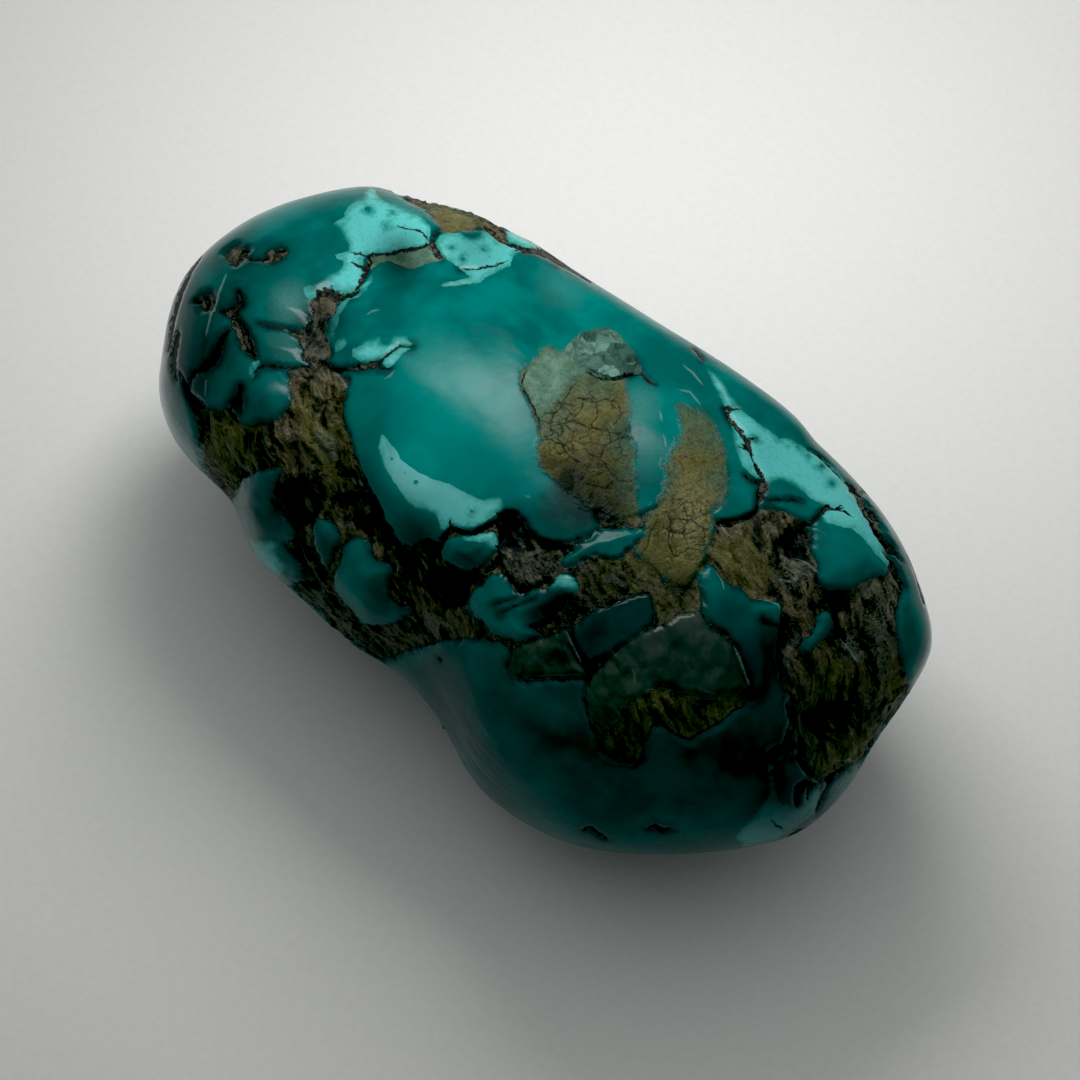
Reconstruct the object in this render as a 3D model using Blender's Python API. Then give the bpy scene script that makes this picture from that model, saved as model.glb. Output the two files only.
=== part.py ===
"""A raw turquoise nugget: one natural stone, worn smooth, lying on its broad side.

The long axis runs along X and the stone rests on a small worn flat at Z = 0, with the origin in
the middle of its base. It starts as a blunt ellipsoid. Its outline is fitted as it shows from
one standpoint, above and in front of the +X end, and swells and hollows are pushed into it.
"""

import math

import bmesh
import bpy
import numpy as np
from mathutils import Vector, noise

MM = 0.001

# Driving dimensions, in millimetres unless a name says otherwise.
LENGTH, BREADTH, HEIGHT = 43.6, 24.6, 20.4
BLUNTNESS = 2.35  # exponent of the starting ellipsoid: 2 is a true one, more is boxier
SPHERE_STEPS = 5
WEAR_PASSES, WEAR_STRENGTH = 2, 0.5
WORN_OFF = 0.5  # how much the worn flat takes off the underside
EDGE_HEIGHT, EDGE_POWER = 0.5, 1.5  # how high and how softly the side rounds into the worn flat

# The standpoint that the outline and the front features are given from.
LOOK_AZIMUTH_DEG, LOOK_ELEVATION_DEG = 43.5, 55.0
EYE_DISTANCE = 175.0
OUTLINE_RAYS = 240
CURVE_STEPS = 12  # points on each stretch of the outline's curve
SPOT_SPREAD = 0.7  # how wide a patch of the body a shown spot's depth is taken from
LEAST_FACING = 0.05  # how far a patch must face the eye to be on the front

# The outline from that standpoint, clockwise from the top: (right, up) from the stone's middle.
OUTLINE = (
    (-8.49, 16.25), (-6.30, 15.62), (-4.12, 15.18), (-1.70, 14.07), (1.16, 11.83), (4.80, 9.50),
    (8.51, 7.18), (12.61, 4.27), (15.47, 1.46), (17.22, -0.97), (18.36, -3.78), (18.72, -6.15),
    (17.46, -8.59), (15.91, -10.82), (15.03, -12.37), (13.77, -13.92), (11.69, -15.37), (7.47, -16.10),
    (2.62, -16.00), (-0.53, -14.94), (-3.44, -12.80), (-5.00, -9.85), (-7.13, -7.40), (-9.46, -5.97),
    (-11.93, -3.69), (-13.92, -1.84), (-14.96, 0.49), (-15.32, 1.13), (-17.75, 3.44), (-18.72, 5.87),
    (-18.67, 7.80), (-18.09, 10.72), (-16.93, 12.66), (-14.50, 14.60), (-11.69, 15.71),
)

# Swells (+) and hollows (-) on the side that the standpoint shows: (height, reach, path), where the
# path is (right, up) points as in the outline and the reach is how far the push spreads from it.
FRONT_FEATURES = {
    "head": (0.5, 4.4, ((-15.2, 10.0), (-13.0, 7.0))),
    "main_dome": (0.5, 5.5, ((-4.5, 7.0), (0.0, 5.0))),
    "back_ridge": (0.3, 1.6, ((-1.0, 12.2), (4.2, 9.2), (8.6, 6.3), (12.2, 3.6))),
    "head_valley": (-0.95, 1.7, ((-8.7, 12.8), (-9.7, 11.0), (-11.0, 9.3), (-11.3, 7.6), (-11.0, 5.9),
                                 (-11.0, 3.9), (-10.6, 2.0), (-9.5, 0.0), (-7.6, -1.9), (-5.6, -3.8))),
    "west_pebble": (0.5, 1.9, ((-13.5, 0.2), (-12.8, -1.8))),
    "under_lobe": (0.6, 4.6, ((-2.0, -10.0), (3.0, -12.0), (8.0, -12.5))),
    "under_lobe_seam": (-0.35, 1.3, ((-7.0, -6.3), (-4.6, -5.8), (-1.8, -6.2), (1.6, -7.8), (2.8, -10.8),
                                     (4.6, -11.8), (7.0, -10.4), (9.5, -8.8))),
    "crackled_skin": (-0.22, 1.9, ((1.2, 6.3), (3.0, 3.0), (4.0, 1.2))),
    "tan_hollow": (-0.3, 1.4, ((7.4, 4.6), (7.6, 1.5), (6.3, -1.5))),
    "crest": (0.35, 1.6, ((12.0, 3.4), (15.0, 0.6), (16.6, -2.2))),
    "east_pebble": (0.4, 1.9, ((14.0, -0.8), (15.2, -2.2))),
    "east_hollow": (-1.0, 2.3, ((12.4, -4.2), (14.6, -6.0), (14.2, -9.0))),
    "east_rim": (0.4, 1.5, ((17.4, -2.4), (18.0, -5.0), (17.3, -7.2))),
    "blue_foot": (0.3, 2.2, ((11.4, -13.4),)),
}

# The same on the sides that face away, as (x, y, z) points from the stone's middle.
FAR_FEATURES = {
    "back_flat": (-0.8, 6.0, ((-2.0, 12.0, -1.0), (6.0, 12.0, -1.5))),
    "head_valley_round": (-0.7, 2.0, ((-10.5, 8.6, 4.6), (-9.6, 11.4, 0.0), (-10.4, 9.0, -6.5))),
    "back_swell": (0.6, 3.6, ((12.0, 9.5, 0.5), (13.5, 7.5, -3.5))),
    "belly_hollow": (-0.7, 2.8, ((-14.0, -3.0, -7.5), (-10.5, -6.0, -7.0))),
    "belly_groove": (-0.5, 1.9, ((-12.5, 5.5, -7.5), (-9.5, 0.5, -9.4), (-8.5, -5.0, -8.4))),
    "heel_hollow": (-0.6, 2.6, ((16.0, 2.5, -6.5), (14.0, 6.5, -6.0))),
}

# A slow unevenness over the whole stone.
WAVE_HEIGHT, WAVE_LENGTH = 0.28, 5.5

# The stone's waxy blue-green.
STONE_COLOUR, STONE_ROUGHNESS = (0.0, 0.20, 0.17, 1.0), 0.3


def look_axes():
    """The standpoint's right, up and toward-the-eye directions, one a row."""
    turn, lift = math.radians(LOOK_AZIMUTH_DEG), math.radians(LOOK_ELEVATION_DEG)
    right = (math.cos(turn), math.sin(turn), 0.0)
    up = (-math.sin(turn) * math.sin(lift), math.cos(turn) * math.sin(lift), math.cos(lift))
    toward = (math.sin(turn) * math.cos(lift), -math.cos(turn) * math.cos(lift), math.sin(lift))
    return np.array((right, up, toward))


LOOK = look_axes()


def seen(points):
    """Where points show from the standpoint, as (right, up) at the stone's middle distance."""
    across = points @ LOOK.T
    return across[:, :2] * (EYE_DISTANCE / (EYE_DISTANCE - across[:, 2]))[:, None]


def blunt_ellipsoid(directions):
    """The starting body: directions from the middle, carried out to a boxy ellipsoid."""
    reach = (np.abs(directions) ** BLUNTNESS).sum(axis=1) ** (-1.0 / BLUNTNESS)
    return directions * reach[:, None] * np.array((LENGTH, BREADTH, HEIGHT)) / 2


def smooth_loop(corners):
    """A closed Catmull-Rom curve through the corners."""
    knots = np.array(corners)
    t = (np.arange(CURVE_STEPS) / CURVE_STEPS)[None, :, None]
    a, b, c, d = (np.roll(knots, shift, axis=0)[:, None, :] for shift in (1, 0, -1, -2))
    curve = 0.5 * (2 * b + (c - a) * t + (2 * a - 5 * b + 4 * c - d) * t**2 + (3 * b - a - 3 * c + d) * t**3)
    return curve.reshape(-1, 2)


def wanted_reach(angles):
    """How far the wanted outline is from the middle, at each angle round it."""
    curve = smooth_loop(OUTLINE)
    around = np.arctan2(curve[:, 1], curve[:, 0])
    order = np.argsort(around)
    return np.interp(angles, around[order], np.hypot(*curve.T)[order], period=2 * math.pi)


def body_reach(shown, edges, angles):
    """How far the body's own outline is from the middle, where its edges last cross each ray."""
    start, end = shown[edges[:, 0]], shown[edges[:, 1]]
    reach = np.zeros(len(angles))
    for i, angle in enumerate(angles):
        ray = np.array((math.cos(angle), math.sin(angle)))
        side_start, side_end = start @ (-ray[1], ray[0]), end @ (-ray[1], ray[0])
        crossing = side_start * side_end < 0
        part = side_start[crossing] / (side_start[crossing] - side_end[crossing])
        along_start, along_end = start[crossing] @ ray, end[crossing] @ ray
        reach[i] = (along_start + part * (along_end - along_start)).max()
    return reach


def fit_outline(points, edges):
    """Stretches the body across the line of sight until its outline is the wanted one."""
    shown = seen(points)
    rays = np.linspace(-math.pi, math.pi, OUTLINE_RAYS, endpoint=False)
    stretch = wanted_reach(rays) / body_reach(shown, edges, rays)
    angles = np.arctan2(shown[:, 1], shown[:, 0])
    across = points @ LOOK.T
    across[:, :2] *= np.interp(angles, rays, stretch, period=2 * math.pi)[:, None]
    return across @ LOOK


def on_front(points, normals, spots):
    """The body's points that show at the spots, on the side toward the eye."""
    facing = normals @ LOOK[2] > LEAST_FACING
    shown, toward = seen(points[facing]), points[facing] @ LOOK[2]
    found = []
    for spot in np.array(spots):
        near = np.exp(-((shown - spot) ** 2).sum(axis=1) / SPOT_SPREAD**2)
        depth = (near @ toward) / near.sum()
        across = spot * (EYE_DISTANCE - depth) / EYE_DISTANCE
        found.append(np.append(across, depth) @ LOOK)
    return np.array(found)


def distance_to_path(points, path):
    """How far each point is from a chain of straight stretches."""
    if len(path) == 1:
        return np.linalg.norm(points - path[0], axis=1)
    nearest = np.full(len(points), np.inf)
    for start, end in zip(path[:-1], path[1:]):
        run = end - start
        part = np.clip(((points - start) @ run) / (run @ run), 0.0, 1.0)
        nearest = np.minimum(nearest, np.linalg.norm(points - start - part[:, None] * run, axis=1))
    return nearest


def sculpt(points, normals):
    """Pushes every swell out and every hollow in, along the body's normals."""
    push = np.zeros(len(points))
    for height, reach, path in FRONT_FEATURES.values():
        route = on_front(points, normals, path)
        push += height * np.exp(-((distance_to_path(points, route) / reach) ** 2))
    for height, reach, path in FAR_FEATURES.values():
        push += height * np.exp(-((distance_to_path(points, np.array(path)) / reach) ** 2))
    push += [WAVE_HEIGHT * noise.noise(Vector(point) / WAVE_LENGTH) for point in points]
    return points + normals * push[:, None]


def settle(points):
    """Sets the stone down on its worn flat, with the origin in the middle of its base."""
    low, high = points.min(axis=0), points.max(axis=0)
    points = points - np.array(((low[0] + high[0]) / 2, (low[1] + high[1]) / 2, low[2] + WORN_OFF))
    above = np.clip(points[:, 2] / EDGE_HEIGHT, 0.0, 1.0)
    points[:, 2] = np.where(above < 1.0, EDGE_HEIGHT * above**EDGE_POWER, points[:, 2])
    return points


def place(body, points):
    """Moves the body's vertices to the points."""
    for vertex, point in zip(body.verts, points):
        vertex.co = point
    body.normal_update()


def placed(body):
    """The body's points and vertex normals as they stand."""
    return np.array([vertex.co for vertex in body.verts]), np.array([vertex.normal for vertex in body.verts])


def wear_smooth(body):
    """Rubs down what is sharper than a tumbled stone keeps."""
    for _ in range(WEAR_PASSES):
        bmesh.ops.smooth_vert(
            body, verts=body.verts, factor=WEAR_STRENGTH, use_axis_x=True, use_axis_y=True, use_axis_z=True
        )


def turquoise():
    """The finish of the whole stone."""
    material = bpy.data.materials.new("turquoise")
    material.use_nodes = True
    shader = material.node_tree.nodes["Principled BSDF"]
    shader.inputs["Base Color"].default_value = STONE_COLOUR
    shader.inputs["Roughness"].default_value = STONE_ROUGHNESS
    shader.inputs["Metallic"].default_value = 0.0
    return material


def nugget():
    """The whole stone."""
    body = bmesh.new()
    bmesh.ops.create_icosphere(body, subdivisions=SPHERE_STEPS, radius=1.0)
    edges = np.array([[vertex.index for vertex in edge.verts] for edge in body.edges])
    start = blunt_ellipsoid(np.array([vertex.co.normalized() for vertex in body.verts]))
    place(body, fit_outline(start, edges))
    place(body, sculpt(*placed(body)))
    wear_smooth(body)
    place(body, settle(fit_outline(placed(body)[0], edges)) * MM)
    mesh = bpy.data.meshes.new("nugget")
    body.to_mesh(mesh)
    body.free()
    mesh.shade_smooth()
    mesh.materials.append(turquoise())
    stone = bpy.data.objects.new("nugget", mesh)
    bpy.context.scene.collection.objects.link(stone)
    return stone


for leftover in list(bpy.data.objects):
    bpy.data.objects.remove(leftover)
nugget()
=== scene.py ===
"""The finish of a raw turquoise nugget: a dense skin over the solid stone, and a small photo table.

Markings that show from the camera are outlines and veins drawn in the camera's own frame and
carried onto the skin as distances, in millimetres, from each marking's edge. The side that the
camera can't see gets markings of the same kinds from solid noise.
"""

import math

import bpy
import numpy as np
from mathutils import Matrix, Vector, noise
from mathutils.bvhtree import BVHTree


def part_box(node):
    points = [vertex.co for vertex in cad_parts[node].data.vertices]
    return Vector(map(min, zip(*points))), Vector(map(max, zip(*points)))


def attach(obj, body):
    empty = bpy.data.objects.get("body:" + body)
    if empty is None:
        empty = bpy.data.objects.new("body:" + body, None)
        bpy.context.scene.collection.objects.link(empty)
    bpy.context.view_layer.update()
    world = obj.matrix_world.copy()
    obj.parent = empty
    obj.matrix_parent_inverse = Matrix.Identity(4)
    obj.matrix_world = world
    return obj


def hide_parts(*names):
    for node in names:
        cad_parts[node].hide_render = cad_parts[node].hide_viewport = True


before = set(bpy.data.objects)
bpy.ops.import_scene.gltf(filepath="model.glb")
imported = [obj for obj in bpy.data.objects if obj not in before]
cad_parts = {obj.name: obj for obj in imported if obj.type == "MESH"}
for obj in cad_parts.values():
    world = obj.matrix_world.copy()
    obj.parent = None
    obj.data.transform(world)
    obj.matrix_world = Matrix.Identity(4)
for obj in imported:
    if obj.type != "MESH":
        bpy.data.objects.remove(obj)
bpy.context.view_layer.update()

MM = 0.001

# --- the camera, and the frame that the markings are drawn in
LOOK_AZIMUTH_DEG, LOOK_ELEVATION_DEG = 43.5, 55.0
EYE_DISTANCE = 175.0  # mm
STONE_MIDDLE = np.array((1.126, 0.754, 9.815))  # mm, the point that the outline was fitted round
PICTURE_SIDE = 1080  # pixels
MIDDLE_PIXEL = np.array((546.0, 521.0))  # where the stone's middle shows
PIXEL = 0.0485  # mm at the stone's middle
SENSOR_WIDTH = 36.0  # mm

# --- the light: one soft window close behind the stone, in a room that is brighter on that side
WINDOW_PLACE = (-16.5, 25.0, 57.0)  # mm
WINDOW_TILT_DEG = (16.0, 0.0)  # about X and Y, from facing straight down
WINDOW_SIZE = (21.5, 46.0)  # mm
WINDOW_RADIANCE = 8.4
ROOM_AZIMUTH_DEG, ROOM_ELEVATION_DEG = -46.0, 78.0  # of the room's bright part
ROOM_DIM, ROOM_BRIGHT = 0.03, 0.73
BLACK_LEVELS = (0.017, 0.011, 0.011)  # what the picture shows as black

# --- the skin's mesh
SKIN_STEPS = (194, 106, 97)  # rows along X, Y and Z
FRONT_DENSITY = 0.45  # how far the mesh is drawn together on the side toward the camera
CAD_SMOOTH_LEVELS = 2
# the far ridge, which stands a little prouder than the solid: its route and reach in pixels, its rise in mm
RIDGE = ((530, 244), (563, 263), (615, 292), (666, 322), (717, 355), (763, 394), (800, 430))
RIDGE_REACH, RIDGE_RISE = 60.0, 0.52
FADE_START, FADE_END = 0.05, -0.13  # facing at which drawn markings start and finish giving way

# --- drawn markings, in pixels of the camera's frame
PALE = {
    "head_top": (
        (371, 187), (366, 193), (363, 199), (352, 203), (346, 210), (344, 216), (334, 223), (341, 228),
        (345, 234), (348, 240), (350, 250), (332, 256), (345, 262), (338, 272), (330, 275), (324, 281),
        (315, 285), (303, 287), (304, 292), (307, 298), (311, 304), (318, 306), (326, 304), (333, 296),
        (345, 293), (358, 290), (363, 279), (363, 273), (364, 258), (370, 252), (384, 253), (396, 252),
        (410, 248), (425, 247), (430, 243), (430, 226), (421, 217), (404, 210), (391, 205), (378, 197),
        (375, 190),
    ),
    "dome_edge": (
        (373, 273), (372, 280), (365, 290), (358, 297), (350, 300), (344, 307), (340, 315), (336, 328),
        (333, 336), (328, 343), (325, 330), (329, 318), (336, 308), (343, 298), (357, 293), (364, 284),
    ),
    "dome_edge_bit": ((334, 345), (338, 340), (345, 339), (348, 344), (343, 349), (336, 352)),
    "slot_top": (
        (352, 356), (353, 349), (363, 344), (372, 341), (379, 338), (379, 345), (385, 347), (392, 344),
        (395, 337), (404, 337), (413, 345), (403, 345), (398, 347), (390, 354), (383, 357), (372, 361),
        (358, 361),
    ),
    "slot_low": (
        (416, 348), (408, 350), (402, 354), (397, 360), (392, 366), (386, 368), (382, 363), (390, 354),
        (398, 348), (406, 346),
    ),
    "mint": (
        (438, 237), (445, 233), (455, 231), (463, 233), (470, 236), (480, 233), (490, 230), (496, 237),
        (505, 241), (515, 246), (526, 249), (515, 254), (512, 260), (510, 265), (498, 271), (487, 277),
        (478, 283), (466, 284), (443, 286), (445, 283), (464, 279), (470, 277), (466, 274), (458, 266),
        (448, 260), (440, 252), (435, 243),
    ),
    "mint_edge": (
        (498, 222), (512, 230), (526, 239), (541, 248), (528, 250), (518, 246), (509, 240), (505, 232),
    ),
    "crescent": (
        (382, 434), (386, 438), (394, 448), (402, 460), (412, 468), (424, 476), (436, 480), (448, 483),
        (456, 487), (464, 492), (474, 497), (484, 500), (501, 498), (501, 508), (498, 514), (490, 519),
        (482, 524), (470, 529), (458, 529), (449, 526), (446, 530), (441, 529), (438, 520), (434, 512),
        (425, 509), (415, 508), (407, 500), (400, 490), (393, 480), (386, 468), (381, 455), (379, 445),
    ),
    "east_sheet": (
        (708, 370), (716, 376), (724, 388), (730, 397), (738, 407), (748, 415), (758, 423), (768, 430),
        (778, 437), (790, 440), (800, 445), (808, 449), (818, 455), (828, 462), (838, 472), (848, 484),
        (857, 497), (866, 511), (876, 526), (886, 544), (891, 562), (888, 566), (874, 553), (862, 537),
        (853, 529), (842, 527), (826, 522), (822, 515), (830, 508), (822, 504), (812, 500), (803, 492),
        (792, 483), (780, 478), (770, 482), (760, 479), (750, 474), (743, 466), (738, 455), (735, 445),
        (733, 428), (727, 412), (722, 397), (714, 383),
    ),
    "foot": (
        (766, 762), (772, 764), (776, 770), (773, 780), (776, 795), (782, 804), (792, 808), (803, 806),
        (806, 797), (812, 790), (820, 790), (818, 802), (816, 812), (806, 820), (795, 828), (780, 838),
        (765, 845), (745, 847), (736, 838), (742, 828), (752, 820), (760, 810), (768, 798), (771, 786),
        (768, 774),
    ),
    "west_lobe": (
        (243, 532), (255, 538), (262, 541), (270, 540), (278, 543), (276, 550), (280, 558), (287, 566),
        (283, 573), (278, 580), (262, 566), (250, 553),
    ),
    "round_top": (
        (462, 537), (475, 534), (490, 530), (497, 536), (498, 548), (491, 549), (486, 542), (476, 542),
        (468, 541),
    ),
    "split_top": ((549, 588), (552, 581), (560, 573), (572, 574), (579, 582), (577, 592), (562, 589)),
    "pebble_rim": ((249, 378), (249, 368), (253, 361), (259, 359), (259, 366), (254, 372), (251, 380)),
    "pebble_chip": ((289, 385), (294, 379), (306, 375), (303, 384), (294, 390), (288, 393)),
    "mouth_bit": ((318, 299), (325, 296), (331, 302), (327, 310), (320, 308)),
}
TEAL_IN_PALE = {
    "east_eye": (
        (762, 490), (768, 483), (780, 478), (792, 482), (803, 491), (811, 499), (819, 507), (814, 516),
        (802, 520), (788, 513), (772, 510), (764, 503),
    ),
    "mint_spot": ((459, 230), (485, 228), (480, 236), (472, 240), (464, 236)),
}
# centre and half-width of small dark freckles in the pale rind
FRECKLES = (
    (368, 209, 3.2), (392, 213, 1.6), (386, 226, 2.2), (416, 482, 2.6), (405, 473, 1.6), (392, 459, 1.4),
    (472, 511, 2.0), (822, 466, 3.0), (832, 484, 2.8), (798, 447, 1.6), (790, 445, 1.4), (484, 250, 1.8),
    (463, 259, 2.4), (498, 238, 1.5), (778, 438, 1.5), (808, 455, 1.4), (756, 440, 1.8), (452, 248, 1.4),
)

ROCK = {
    "valley": (
        (357, 291), (345, 295), (338, 302), (334, 311), (328, 318), (325, 328), (326, 340), (330, 350),
        (328, 358), (331, 366), (338, 373), (347, 378), (344, 395), (341, 408), (342, 420), (348, 440),
        (352, 450), (358, 470), (367, 487), (378, 508), (386, 525), (400, 547), (380, 560), (350, 540),
        (330, 515), (300, 490), (283, 474), (270, 462), (262, 445), (262, 424), (276, 420), (285, 412),
        (290, 402), (292, 394), (288, 384), (291, 378), (284, 371), (296, 368), (308, 364), (301, 358),
        (303, 350), (300, 343), (292, 337), (288, 331), (297, 329), (306, 326), (313, 320), (314, 312),
        (308, 306), (313, 298), (320, 291), (330, 288), (345, 290),
    ),
    "west": (
        (192, 396), (200, 404), (208, 409), (215, 412), (225, 408), (230, 414), (236, 421), (246, 426),
        (262, 424), (264, 445), (272, 462), (285, 476), (262, 470), (250, 476), (243, 486), (238, 496),
        (236, 505), (226, 500), (214, 486), (207, 476), (203, 462), (199, 445), (196, 428), (192, 412),
    ),
    "pebble_bed": (
        (283, 474), (300, 486), (330, 505), (352, 512), (378, 508), (386, 525), (400, 547), (410, 548),
        (418, 543), (428, 540), (442, 545), (452, 530), (468, 534), (485, 530), (497, 522), (505, 540),
        (502, 560), (508, 578), (500, 600), (485, 620), (500, 642), (486, 640), (470, 638), (455, 639),
        (440, 641), (425, 646), (405, 652), (390, 660), (380, 663), (358, 654), (343, 643), (331, 631),
        (324, 618), (317, 610), (300, 600), (293, 590), (298, 582), (300, 572), (296, 558), (288, 550),
        (283, 543), (290, 541), (295, 535), (290, 526), (285, 518), (279, 510), (274, 500), (272, 490),
        (276, 482),
    ),
    "middle": (
        (500, 516), (508, 513), (517, 514), (524, 520), (531, 531), (539, 539), (550, 542), (562, 543),
        (575, 541), (588, 538), (597, 531), (602, 526), (597, 512), (640, 516), (650, 510), (658, 508),
        (690, 500), (718, 506), (708, 515), (722, 521), (740, 521), (752, 516), (760, 508), (776, 509),
        (790, 513), (802, 519), (812, 523), (812, 540), (814, 562), (820, 586), (832, 592), (852, 588),
        (868, 579), (887, 578), (890, 600), (830, 640), (790, 640), (783, 610), (783, 602), (770, 600),
        (755, 598), (745, 590), (733, 583), (722, 575), (716, 565), (708, 562), (700, 570), (697, 578),
        (702, 605), (705, 618), (715, 628), (728, 638), (737, 650), (742, 665), (748, 680), (750, 690),
        (748, 702), (742, 706), (733, 711), (722, 720), (712, 727), (700, 735), (690, 741), (680, 736),
        (665, 728), (652, 728), (645, 735), (645, 748), (640, 758), (632, 763), (620, 762), (608, 758),
        (600, 750), (598, 743), (593, 730), (588, 715), (585, 700), (586, 690), (584, 678), (560, 679),
        (535, 680), (515, 680), (508, 674), (506, 666), (510, 655), (512, 648), (500, 642), (490, 630),
        (510, 610), (508, 578), (500, 566), (497, 553), (498, 535),
    ),
    "east": (
        (784, 605), (800, 590), (822, 588), (832, 593), (850, 589), (868, 579), (887, 577), (891, 565),
        (897, 575), (903, 588), (897, 606), (897, 622), (896, 637), (900, 650), (905, 667), (909, 680),
        (910, 695), (900, 712), (889, 726), (880, 740), (868, 756), (860, 764), (848, 766), (838, 772),
        (828, 780), (822, 786), (812, 777), (804, 768), (795, 758), (785, 755), (775, 757), (770, 752),
        (786, 742), (791, 720), (789, 700), (783, 680), (780, 665), (780, 645), (783, 620),
    ),
    "skin_patch": (
        (550, 345), (557, 351), (566, 356), (575, 362), (590, 370), (604, 376), (615, 377), (624, 375),
        (626, 385), (628, 405), (630, 412), (628, 420), (627, 432), (630, 445), (634, 455), (634, 480),
        (635, 495), (638, 505), (640, 515), (632, 518), (620, 520), (607, 517), (597, 510), (585, 505),
        (575, 495), (565, 487), (555, 480), (545, 470), (537, 455), (536, 446), (541, 438), (541, 428),
        (538, 418), (534, 410), (531, 400), (527, 392), (522, 385), (521, 378), (524, 372), (528, 366),
        (534, 360), (540, 352), (548, 346),
    ),
    "tan_column": (
        (678, 405), (685, 407), (695, 409), (705, 414), (712, 422), (718, 432), (723, 445), (726, 460),
        (727, 475), (727, 488), (723, 500), (718, 507), (708, 515), (700, 540), (660, 540), (655, 508),
        (660, 500), (665, 490), (668, 480), (665, 470), (668, 460), (672, 450), (678, 440), (683, 432),
        (680, 420), (676, 410),
    ),
    "top_edge": (
        (396, 190), (418, 198), (436, 201), (450, 203), (465, 206), (480, 211), (492, 216), (503, 224),
        (508, 232), (509, 241), (500, 239), (492, 233), (487, 228), (478, 226), (462, 229), (452, 231),
        (444, 228), (440, 222), (433, 214), (425, 207), (412, 201),
    ),
    "crest": (
        (852, 489), (862, 492), (868, 504), (880, 524), (889, 542), (891, 556), (884, 542), (876, 528),
        (866, 512), (860, 500),
    ),
    "lens": ((230, 313), (238, 316), (246, 328), (252, 340), (257, 351), (253, 359), (245, 354), (238, 342), (233, 328)),
    "spot_low": ((198, 302), (201, 294), (210, 291), (214, 298), (210, 308), (202, 310)),
    "spot_mid": ((224, 254), (230, 247), (240, 244), (248, 249), (243, 258), (235, 264), (227, 261)),
    "spot_high": ((262, 257), (269, 249), (280, 245), (289, 248), (283, 257), (274, 263), (265, 263)),
}
ISLANDS = {
    "pebble_north": (
        (262, 322), (258, 310), (258, 300), (262, 290), (270, 284), (285, 284), (300, 290), (308, 300),
        (314, 310), (312, 320), (306, 326), (296, 328), (285, 329), (272, 326),
    ),
    "pebble_mid": (
        (258, 331), (270, 330), (284, 334), (292, 338), (300, 344), (303, 350), (301, 358), (296, 364),
        (285, 366), (272, 366), (262, 363), (256, 356), (253, 345), (254, 337),
    ),
    "pebble_south": (
        (262, 372), (272, 371), (280, 378), (288, 385), (292, 394), (290, 402), (285, 412), (276, 420),
        (262, 424), (250, 426), (243, 424), (238, 415), (238, 400), (240, 390), (247, 385), (250, 380),
    ),
    "west_lobe": (
        (240, 482), (248, 477), (255, 472), (262, 470), (279, 468), (282, 474), (276, 482), (272, 490),
        (274, 500), (279, 510), (285, 518), (290, 526), (295, 535), (290, 541), (283, 543), (288, 550),
        (296, 558), (300, 566), (300, 575), (298, 582), (292, 590), (270, 580), (245, 555), (228, 505),
    ),
    "slim": (
        (312, 523), (318, 519), (325, 519), (332, 523), (337, 530), (339, 540), (337, 550), (333, 560),
        (328, 568), (323, 568), (318, 560), (313, 550), (310, 540), (309, 530),
    ),
    "long": (
        (342, 545), (350, 538), (358, 536), (366, 540), (370, 548), (372, 556), (378, 560), (388, 562),
        (393, 568), (392, 576), (388, 584), (388, 592), (390, 600), (396, 604), (405, 606), (412, 609),
        (408, 616), (400, 622), (390, 626), (378, 628), (368, 628), (358, 623), (350, 614), (342, 604),
        (335, 596), (331, 588), (331, 578), (336, 568), (339, 556),
    ),
    "round": (
        (441, 545), (448, 536), (458, 533), (468, 535), (480, 532), (490, 530), (495, 533), (498, 540),
        (497, 550), (492, 557), (485, 563), (478, 570), (465, 572), (455, 568), (445, 565), (440, 558),
    ),
    "split": (
        (470, 590), (478, 585), (485, 578), (492, 574), (502, 573), (507, 580), (515, 590), (522, 592),
        (532, 589), (545, 588), (552, 582), (556, 574), (565, 574), (573, 576), (579, 585), (578, 592),
        (570, 598), (560, 603), (555, 610), (548, 618), (545, 624), (530, 627), (540, 632), (542, 637),
        (530, 640), (520, 643), (510, 642), (498, 638), (488, 632), (480, 624), (472, 616), (466, 608),
        (467, 598),
    ),
    "tooth": (
        (594, 533), (603, 528), (614, 526), (627, 526), (640, 528), (645, 533), (640, 541), (632, 547),
        (625, 552), (619, 558), (611, 560), (602, 559), (595, 555), (585, 559), (574, 565), (563, 567),
        (560, 560), (567, 552), (578, 545), (588, 539),
    ),
    "shade": (
        (575, 625), (585, 615), (600, 608), (620, 600), (635, 595), (650, 592), (655, 600), (655, 615),
        (650, 628), (640, 635), (625, 645), (610, 655), (600, 662), (590, 668), (585, 665), (578, 655),
        (572, 645), (570, 632),
    ),
    "east_tongue": (
        (700, 570), (708, 562), (716, 565), (722, 575), (733, 583), (745, 590), (755, 598), (765, 600),
        (778, 602), (783, 610), (780, 618), (770, 620), (778, 625), (777, 635), (779, 650), (780, 665),
        (775, 680), (770, 695), (760, 695), (752, 690), (748, 680), (742, 665), (737, 650), (728, 638),
        (715, 628), (705, 618), (702, 605), (700, 590), (697, 578),
    ),
    "east_lobe": (
        (810, 525), (818, 522), (826, 522), (840, 520), (858, 530), (875, 545), (888, 565), (887, 578),
        (878, 576), (868, 578), (858, 585), (850, 588), (840, 590), (832, 592), (822, 588), (818, 580),
        (817, 570), (813, 560), (812, 548), (812, 535),
    ),
    "east_bead": (
        (817, 612), (825, 610), (833, 612), (834, 620), (833, 630), (826, 638), (818, 645), (812, 655),
        (805, 655), (801, 648), (803, 640), (812, 632), (816, 622),
    ),
    "east_fleck": ((774, 697), (780, 691), (789, 689), (792, 697), (786, 705), (778, 703)),
}
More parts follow.
